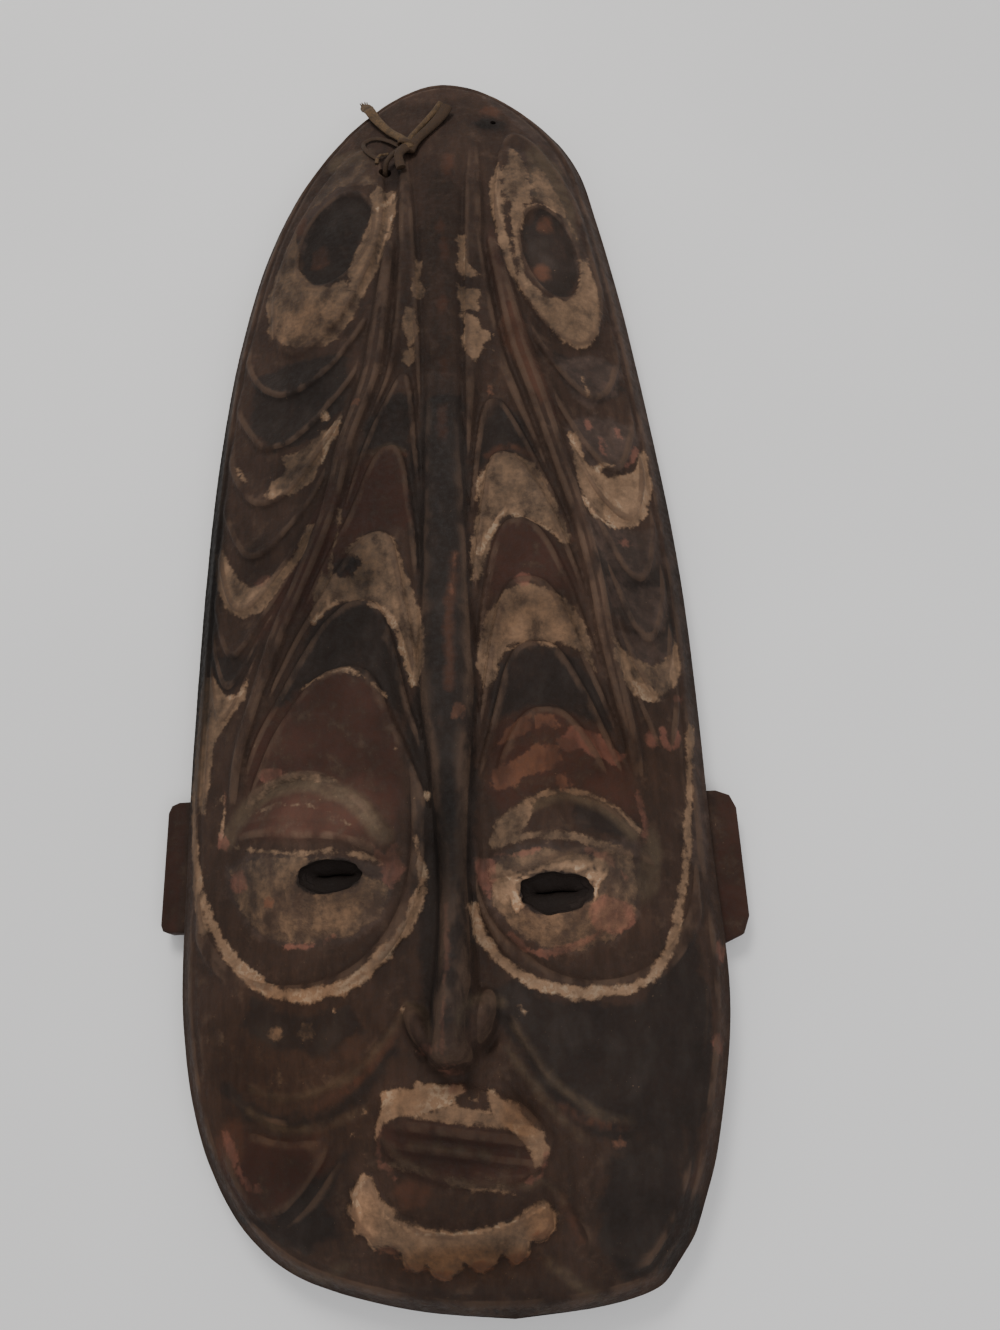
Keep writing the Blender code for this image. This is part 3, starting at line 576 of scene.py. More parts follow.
def carveBoard():
    # a grid is pulled down into a board, and its points are then put on the carved surfaces
    form = maskForm
    deselectAll()
    coarse = 1.0
    bpy.ops.mesh.primitive_grid_add(x_subdivisions=int(form["cellsAcross"] * coarse),
                                    y_subdivisions=int(form["cellsAlong"] * coarse), size=2)
    board = bpy.context.object
    board.name = "maskCarving"
    editAll()
    for _ in range(form["wallSteps"]):
        bpy.ops.mesh.extrude_region_move(TRANSFORM_OT_translate={"value": (0, 0, -1)})
    objectMode()
    places = points(board)
    share = (places[:, 1] + 1) / 2
    even = form["evenShare"]
    y = faceLength * (even * share + (1 - even) * (1 - np.cos(math.pi * share)) / 2)
    x = middleX(y) + places[:, 0] * halfWidth(y)
    layer = np.round(-places[:, 2]).astype(int)
    front, back = layer == 0, layer == form["wallSteps"]
    height = np.zeros(len(x))
    height[front] = frontHeight(x[front], y[front])
    height[back] = backHeight(x[back], y[back])
    wall = ~front & ~back
    height[wall] = (form["sideHeight"] - form["bandDrop"]) * (1 - layer[wall] / form["wallSteps"])
    # the sides are a little uneven
    bulge = np.where(wall, form["sideWander"] * lumps(x, y, 21, 31), 0)
    x = x + bulge * np.sign(places[:, 0]) * (np.abs(places[:, 0]) > 0.999)
    movePoints(board, np.stack([x, y - middleY, height], 1) * mm)
    under = board.vertex_groups.new(name="under")
    under.add([int(index) for index in np.nonzero(back)[0]], 1.0, "REPLACE")
    editAll()
    bpy.ops.mesh.remove_doubles(threshold=0.00005)
    bpy.ops.mesh.select_all(action="SELECT")
    bpy.ops.mesh.normals_make_consistent(inside=False)
    objectMode()
    # the back keeps few faces, and the front keeps them where it is carved
    half = len(board.data.polygons)
    backWanted = half + form["backTriangles"] * coarse ** 2
    for group, wanted in (("under", backWanted), ("", form["triangles"] * coarse ** 2)):
        count = sum(len(face.vertices) - 2 for face in board.data.polygons)
        thin = board.modifiers.new("thin", "DECIMATE")
        thin.vertex_group = group
        thin.ratio = min(1.0, wanted / count)
        applyModifier(board, thin)
    board.vertex_groups.clear()
    return board


earForm = dict(
    thick=15.0, lift=3.0, root=154.0, reach=186.2,
    left=dict(low=216, high=301, sign=-1, corners=(7.0, 5.0), tone=-0.30),
    right=dict(low=194, high=289, sign=1, corners=(12.0, 15.0), tone=-0.05),
)


def makeEar(ear):
    # a block with its two outer corners cut off, each by its own size, and every edge worn round
    form = earForm
    deselectAll()
    centreX = ear["sign"] * (form["root"] + form["reach"]) / 2
    centreY = (ear["low"] + ear["high"]) / 2 - middleY
    centreZ = form["lift"] + form["thick"] / 2
    bpy.ops.mesh.primitive_cube_add(size=1, location=(centreX * mm, centreY * mm, centreZ * mm))
    lug = bpy.context.object
    lug.scale = ((form["reach"] - form["root"]) * mm, (ear["high"] - ear["low"]) * mm, form["thick"] * mm)
    settle(lug)
    weights = lug.data.attributes.new("bevel_weight_edge", "FLOAT", "EDGE")
    biggest = max(ear["corners"])
    for edge in lug.data.edges:
        ends = [lug.data.vertices[index].co for index in edge.vertices]
        upright = abs(ends[0].x - ends[1].x) < 1e-6 and abs(ends[0].y - ends[1].y) < 1e-6
        if upright and ends[0].x * ear["sign"] > form["root"] * mm + 0.001:
            above = ends[0].y > centreY * mm
            weights.data[edge.index].value = ear["corners"][0 if above else 1] / biggest
    corner = lug.modifiers.new("corner", "BEVEL")
    corner.width = biggest * mm
    corner.segments = 2
    corner.limit_method = "WEIGHT"
    applyModifier(lug, corner)
    soften = lug.modifiers.new("soften", "BEVEL")
    soften.width = 2.2 * mm
    soften.segments = 3
    soften.limit_method = "ANGLE"
    soften.angle_limit = math.radians(50)
    applyModifier(lug, soften)
    return lug


# Each eye is a shallow dish that narrows to a thin wavering slit, a little aside of the dish's middle.
eyeForm = dict(
    around=72, steps=16, dishDepth=(0.50, 0.86), slitLength=0.54, slitHeight=0.048, slitWave=0.35,
    left=dict(rough=0.07, aside=(1.4, 2.0)),
    right=dict(rough=0.11, aside=(-1.0, 1.8)),
)


def eyePlug(name, eye, centreX, centreY, halfX, halfY):
    # drawn up from a disc in steps, from behind the board to before it
    form, steps = eyeForm, eyeForm["steps"]
    deselectAll()
    front = float(frontHeight(centreX, centreY))
    back = float(backHeight(np.array([float(centreX)]), np.array([float(centreY)]))[0])
    bpy.ops.mesh.primitive_circle_add(vertices=form["around"], radius=1, fill_type="NGON")
    plug = bpy.context.object
    plug.name = name
    editAll()
    for _ in range(steps):
        bpy.ops.mesh.extrude_region_move(TRANSFORM_OT_translate={"value": (0, 0, 1)})
    bpy.ops.mesh.select_all(action="SELECT")
    bpy.ops.mesh.normals_make_consistent(inside=False)
    objectMode()
    places = points(plug)
    opened = np.interp(places[:, 2], [0, 2, steps - 2, steps], [-0.6, 0.0, 1.0, 1.5])
    angle = np.arctan2(places[:, 1], places[:, 0])
    waves = 0.5 * np.sin(3 * angle + 0.6) + 0.35 * np.sin(7 * angle + 2.0) + 0.2 * np.sin(13 * angle)
    waver = 1 + eye["rough"] * waves
    dish = rise(*form["dishDepth"], opened)
    across = places[:, 0] * waver * (form["slitLength"] + (1 - form["slitLength"]) * dish)
    along = places[:, 1] * halfY * waver * (form["slitHeight"] + (1 - form["slitHeight"]) * dish)
    asideX, asideY = eye["aside"]
    level = (asideY + form["slitWave"] * np.sin(across * 7.0 + 0.7)) * (1 - dish)
    places[:, 1] = centreY - middleY + along + level
    places[:, 0] = centreX + across * halfX + asideX * (1 - dish)
    places[:, 2] = back + opened * (front - back)
    movePoints(plug, places * mm)
    return plug


# The tie's hole and the spare one: centre and radius
tieHole = (-32, 784, 4.8)
spareHole = (54, 838, 2.2)
drillDepth = 160


def drill(centreX, centreY, radius):
    deselectAll()
    bpy.ops.mesh.primitive_cylinder_add(vertices=24, radius=radius * mm, depth=drillDepth * mm)
    tool = bpy.context.object
    tool.location = (centreX * mm, (centreY - middleY) * mm, drillDepth / 2 * mm)
    settle(tool)
    return tool


maskCarving = carveBoard()
print("the board is carved:", len(maskCarving.data.polygons), "faces")
for side in ("left", "right"):
    boolean(maskCarving, makeEar(earForm[side]), "UNION")
for name, side in (("left", leftSide), ("right", rightSide)):
    boolean(maskCarving, eyePlug(name + "Plug", eyeForm[name], *side["eyeHole"]), "DIFFERENCE")
for hole in (tieHole, spareHole):
    boolean(maskCarving, drill(*hole), "DIFFERENCE")
print("ears and holes are made:", len(maskCarving.data.polygons), "faces")

# The paint. Each shape is placed in millimetres on the mask: a patch by its corners, a line by its width
# and places, a spot by its centre and two half sizes. White comes in the order of its strokes, with how
# much of each is left.
whitePaint = [
    ("line", 0.45, 6.0, (-163, 345), (-164, 300), (-160, 262), (-154, 232), (-147, 212)),
    ("patch", 0.14, (-132, 250), (-128, 228), (-114, 212), (-98, 203), (-76, 200), (-52, 203), (-34, 214),
     (-28, 228), (-60, 246), (-90, 250), (-112, 252)),
    ("patch", 0.22, (30, 236), (32, 216), (44, 200), (58, 192), (80, 189), (100, 194), (112, 206), (116, 222),
     (114, 244), (104, 248), (88, 242), (60, 246), (40, 244)),
    ("line", 0.40, 2.8, (50, 274), (66, 280), (79, 282), (95, 278), (108, 270), (120, 258)),
    ("line", 0.20, 3.4, (-120, 286), (-100, 298), (-82, 300), (-62, 294)),
    ("line", 0.04, 1.6, (-34, 88), (-18, 80), (4, 76), (28, 72)),
    ("patch", 0.54, (63, 668), (70, 652), (78, 638), (86, 624), (96, 612), (106, 607), (117, 612), (124, 626),
     (127, 650), (124, 674), (119, 692), (113, 692), (113, 670), (108, 655), (100, 648), (88, 649), (78, 658),
     (73, 670)),
    ("patch", 0.54, (57, 786), (50, 768), (49, 745), (52, 715), (55, 695), (62, 668), (66, 668), (63, 690),
     (60, 712), (59, 742), (58, 752), (59, 775)),
    ("patch", 0.50, (68, 668), (73, 670), (70, 690), (69, 705), (72, 720), (77, 737), (67, 743), (64, 728),
     (66, 700)),
    ("line", 0.85, 2.2, (56, 776), (54, 750), (57, 720)),
    ("patch", 0.40, (60, 775), (59, 752), (66, 742), (80, 741), (80, 760), (77, 785), (68, 805)),
    ("line", 0.7, 2.0, (72, 722), (75, 733), (83, 740), (91, 741), (99, 735)),
    ("patch", 0.40, (-22, 755), (-23, 740), (-27, 715), (-31, 695), (-39, 675), (-46, 660), (-56, 662),
     (-59, 682), (-53, 702), (-46, 722), (-40, 742), (-43, 756), (-36, 768), (-31, 761), (-27, 763)),
    ("patch", 0.34, (-127, 684), (-122, 650), (-110, 631), (-95, 621), (-80, 618), (-66, 623), (-53, 642),
     (-46, 660), (-56, 664), (-62, 674), (-72, 670), (-84, 675), (-93, 688), (-100, 700), (-118, 702)),
    ("spot", 0.50, -67, 788, 3, 4),
    ("line", 0.50, 2.0, (-66, 806), (-64, 799), (-60, 796)),
    ("line", 1.1, 4.6, (-25, 757), (-30, 749), (-36, 741)),
    ("line", 0.9, 2.6, (-26, 736), (-30, 714), (-36, 690)),
    ("patch", 0.60, (25, 709), (31, 705), (30, 693), (28, 682), (34, 673), (38, 666), (33, 662), (27, 665),
     (23, 676), (25, 690), (23, 701)),
    ("patch", 0.62, (22, 660), (32, 653), (39, 652), (40, 648), (35, 641), (39, 634), (36, 630), (31, 633),
     (25, 634), (23, 642)),
    ("patch", 0.66, (25, 631), (36, 626), (41, 614), (48, 612), (47, 606), (40, 603), (39, 595), (34, 585),
     (28, 597), (25, 609), (27, 617)),
    ("line", 0.85, 2.2, (28, 664), (32, 672), (28, 682)),
    ("line", 0.85, 2.6, (27, 612), (31, 604), (36, 600)),
    ("line", 0.80, 3.0, (44, 598), (50, 596)),
    ("patch", 0.48, (-8, 688), (-2, 680), (-5, 665), (-1, 654), (-3, 647), (-8, 648), (-11, 656), (-8, 668),
     (-8, 679)),
    ("patch", 0.46, (-14, 642), (-7, 635), (-6, 620), (-8, 609), (-13, 606), (-15, 617), (-17, 628)),
    ("patch", 0.46, (-18, 605), (-8, 603), (-7, 593), (-13, 590), (-19, 595)),
    ("patch", 0.22, (-121, 700), (-112, 732), (-104, 744), (-100, 720), (-97, 700)),
    ("patch", 0.10, (-60, 826), (-74, 804), (-84, 784), (-92, 762), (-84, 764), (-70, 776), (-52, 770),
     (-36, 768), (-38, 784), (-40, 806)),
    ("patch", 0.34, (82, 790), (95, 772), (104, 745), (113, 712), (121, 690), (118, 700), (106, 730),
     (84, 745)),
    ("patch", 0.72, (113, 468), (113, 486), (116, 500), (128, 504), (139, 511), (144, 524), (149, 533),
     (152, 500), (147, 480), (138, 466), (126, 462)),
    ("patch", 0.48, (96, 532), (97, 512), (100, 490), (116, 488), (118, 502), (108, 509), (104, 517),
     (101, 534)),
    ("patch", 0.40, (100, 496), (104, 478), (111, 466), (115, 464), (117, 490), (104, 494)),
    ("line", 1.1, 2.6, (103, 482), (107, 472), (114, 466), (122, 463)),
    ("line", 0.9, 3.5, (96, 533), (99, 525), (104, 516)),
    ("line", 0.9, 3.0, (113, 507), (118, 509), (123, 510)),
    ("line", 0.7, 2.0, (109, 586), (109, 578), (111, 566)),
    ("patch", 0.42, (113, 384), (113, 368), (120, 352), (126, 343), (136, 340), (146, 347), (154, 360),
     (158, 384), (150, 372), (138, 364), (126, 368)),
    ("patch", 0.95, (123, 354), (125, 344), (133, 340), (141, 343), (135, 351)),
    ("patch", 0.75, (149, 357), (150, 368), (155, 385), (159, 380), (157, 362), (152, 352)),
    ("patch", 1.0, (-79, 522), (-74, 519), (-70, 530), (-62, 545), (-60, 554), (-66, 550), (-72, 542),
     (-77, 533)),
    ("patch", 0.32, (-106, 533), (-92, 532), (-84, 540), (-72, 546), (-74, 525), (-79, 508), (-98, 498),
     (-114, 500), (-114, 512), (-101, 520)),
    ("spot", 1.0, -72, 556, 2, 3.2),
    ("spot", 0.8, -109, 503, 6, 4),
    ("line", 0.5, 2.5, (-142, 536), (-137, 526), (-132, 516)),
    ("patch", 0.52, (-157, 472), (-156, 452), (-149, 436), (-141, 422), (-130, 415), (-115, 416), (-103, 428),
     (-94, 440), (-84, 453), (-78, 472), (-83, 472), (-90, 455), (-98, 447), (-106, 441), (-116, 436),
     (-127, 437), (-135, 445), (-142, 456), (-150, 472)),
    ("patch", 0.50, (-161, 381), (-152, 379), (-147, 370), (-140, 362), (-130, 361), (-123, 369), (-126, 357),
     (-135, 349), (-146, 334), (-150, 315), (-152, 286), (-158, 288), (-160, 300), (-166, 300), (-167, 340),
     (-165, 362)),
    ("line", 0.95, 2.5, (-138, 361), (-130, 360), (-124, 370)),
    ("patch", 0.44, (36, 500), (44, 512), (58, 515), (70, 508), (79, 490), (84, 475), (92, 452), (86, 444),
     (78, 458), (66, 466), (55, 468), (48, 464), (44, 456), (39, 446), (35, 432), (32, 420), (27, 420),
     (26, 438), (29, 456), (32, 472), (33, 488)),
    ("line", 1.15, 4.2, (47, 468), (42, 458), (36, 448), (31, 438)),
    ("line", 0.8, 2.6, (31, 478), (33, 490), (37, 500)),
    ("line", 0.8, 2.2, (64, 464), (76, 458), (86, 448)),
    ("spot", 1.0, 57, 467, 4, 3),
    ("patch", 0.42, (32, 346), (28, 362), (30, 382), (36, 397), (46, 410), (58, 416), (72, 414), (85, 407),
     (95, 392), (100, 372), (101, 358), (93, 370), (80, 377), (60, 377), (48, 374), (41, 362), (37, 347)),
    ("patch", 0.52, (50, 378), (70, 379), (82, 386), (74, 400), (58, 402), (48, 392)),
    ("patch", 0.40, (-60, 447), (-50, 456), (-35, 460), (-24, 453), (-17, 430), (-7, 400), (-4, 362),
     (-9, 350), (-15, 351), (-20, 375), (-27, 398), (-38, 409), (-55, 413), (-65, 411), (-79, 400),
     (-79, 420), (-72, 436), (-64, 432), (-60, 428), (-50, 430), (-44, 440)),
    ("line", 1.0, 3.5, (-79, 401), (-71, 408), (-62, 413)),
    ("line", 0.95, 4.5, (-38, 408), (-27, 399), (-19, 378), (-13, 352)),
    ("line", 0.8, 1.5, (-86, 356), (-72, 362), (-60, 365), (-46, 360), (-30, 345)),
    ("line", 0.7, 1.2, (44, 370), (52, 374), (62, 376), (78, 374)),
    ("line", 0.4, 1.5, (-60, 480), (-66, 440), (-74, 405)),
    ("line", 0.62, 4.4, (-163, 300), (-161, 268), (-153, 240), (-141, 211)),
    ("line", 0.82, 5.8, (-150, 232), (-140, 211), (-122, 189), (-102, 175)),
    ("line", 0.95, 7.4, (-122, 189), (-102, 175), (-82, 171), (-62, 173), (-46, 180), (-31, 192)),
    ("line", 0.90, 6.0, (-46, 180), (-31, 192), (-18, 207), (-11, 222)),
    ("line", 0.75, 3.6, (-18, 207), (-11, 222), (-9, 235), (-12, 256)),
    ("line", 0.85, 5.6, (20, 214), (25, 197), (35, 184), (50, 173)),
    ("line", 0.95, 6.6, (35, 184), (50, 173), (68, 167), (88, 165), (106, 166)),
    ("line", 0.85, 5.4, (88, 165), (106, 166), (120, 174), (131, 186), (139, 206)),
    ("line", 0.66, 4.6, (131, 186), (139, 206), (145, 228), (150, 252)),
    ("line", 0.55, 4.6, (145, 228), (150, 252), (154, 278), (157, 303), (160, 326)),
    ("patch", 0.62, (29, 238), (30, 224), (36, 216), (44, 220), (46, 230), (60, 236), (78, 239), (96, 240),
     (98, 234), (80, 234), (66, 233), (50, 231), (40, 236)),
    ("spot", 0.85, 92, 230, 7, 4),
    ("spot", 0.8, 86, 221, 4, 3),
    ("spot", 1.1, 46, 217, 4.5, 5.5),
    ("line", 1.05, 2.0, (38, 233), (44, 229), (52, 230)),
    ("line", 0.30, 1.2, (-131, 262), (-108, 256), (-84, 252), (-62, 253)),
    ("line", 0.40, 1.4, (-82, 250), (-62, 251), (-40, 246), (-28, 239)),
    ("line", 0.10, 1.2, (-120, 280), (-96, 283), (-70, 277), (-48, 264)),
    ("patch", 0.32, (34, 262), (44, 271), (56, 276), (56, 264), (48, 252), (34, 246), (30, 252)),
    ("line", 0.32, 5.0, (36, 250), (56, 254), (80, 252), (100, 247)),
    ("line", 1.1, 3.0, (90, 219), (92, 225), (96, 231)),
    ("line", 0.9, 1.8, (80, 234), (87, 233)),
    ("patch", 0.85, (-35, 116), (-29, 119), (-18, 120), (-13, 124.5), (-11, 120.5), (-3, 121.5), (0, 119.5),
     (11, 120), (12, 116), (8, 114), (2, 113.5), (5, 110.5), (-5, 107.5), (-15, 104.5), (-26, 105.5),
     (-34, 101), (-38, 94), (-37, 105), (-34, 110)),
    ("patch", 0.46, (-8, 107), (5, 110), (14, 108), (24, 106), (34, 101), (34, 97), (20, 99), (0, 102),
     (-14, 104)),
    ("patch", 0.66, (23, 118), (28, 116), (31, 112), (41, 110), (43, 105), (47, 103), (48, 99), (55, 95),
     (54, 89), (57, 87), (53, 79), (48, 76), (46, 86), (37, 96), (28, 101), (26, 108)),
    ("patch", 0.60, *collarEdge),
    ("line", 1.1, 1.5, (-35, 57), (-27, 51), (-15, 47), (1, 45.6), (17, 46.6), (33, 50), (45, 54), (52, 57)),
    ("line", 1.0, 4.0, (-46, 74), (-51, 66), (-49, 57)),
    ("line", 0.12, 1.8, (-30, 82), (-10, 76), (10, 70), (34, 67)),
    ("line", 0.45, 1.6, (14, 68), (24, 67), (36, 65)),
    ("spot", 0.14, -78, 152, 5.5, 4.5),
    ("spot", 0.08, -136, 151, 6, 5),
    ("spot", 0.10, -98, 151, 5, 4),
    ("spot", 0.06, -95, 128, 4.5, 3.4),
    ("spot", 0.06, -65, 125, 3.4, 3),
    ("line", 0.8, 2.6, (-139, 298), (-138, 285), (-139, 270)),
]
# Small chips of fresh white, by how much of each is left
whiteChips = {
    1.0: [(-62, 162, 0.9, 1.0), (43, 160, 0.9, 0.9), (47, 156, 1.1, 1.4), (-5, 281, 0.9, 1.4),
          (-24, 311, 1.1, 1.0), (-116, 323, 1.0, 0.9)],
    0.8: [(-52, 97, 0.8, 0.8), (-46, 108, 0.9, 0.8)],
    0.9: [(-22, 161, 0.9, 1.0), (17, 112, 1.6, 1.0), (21, 116, 1.0, 1.4)],
}
whitePaint += [("spot", share, *chip) for share, chips in whiteChips.items() for chip in chips]

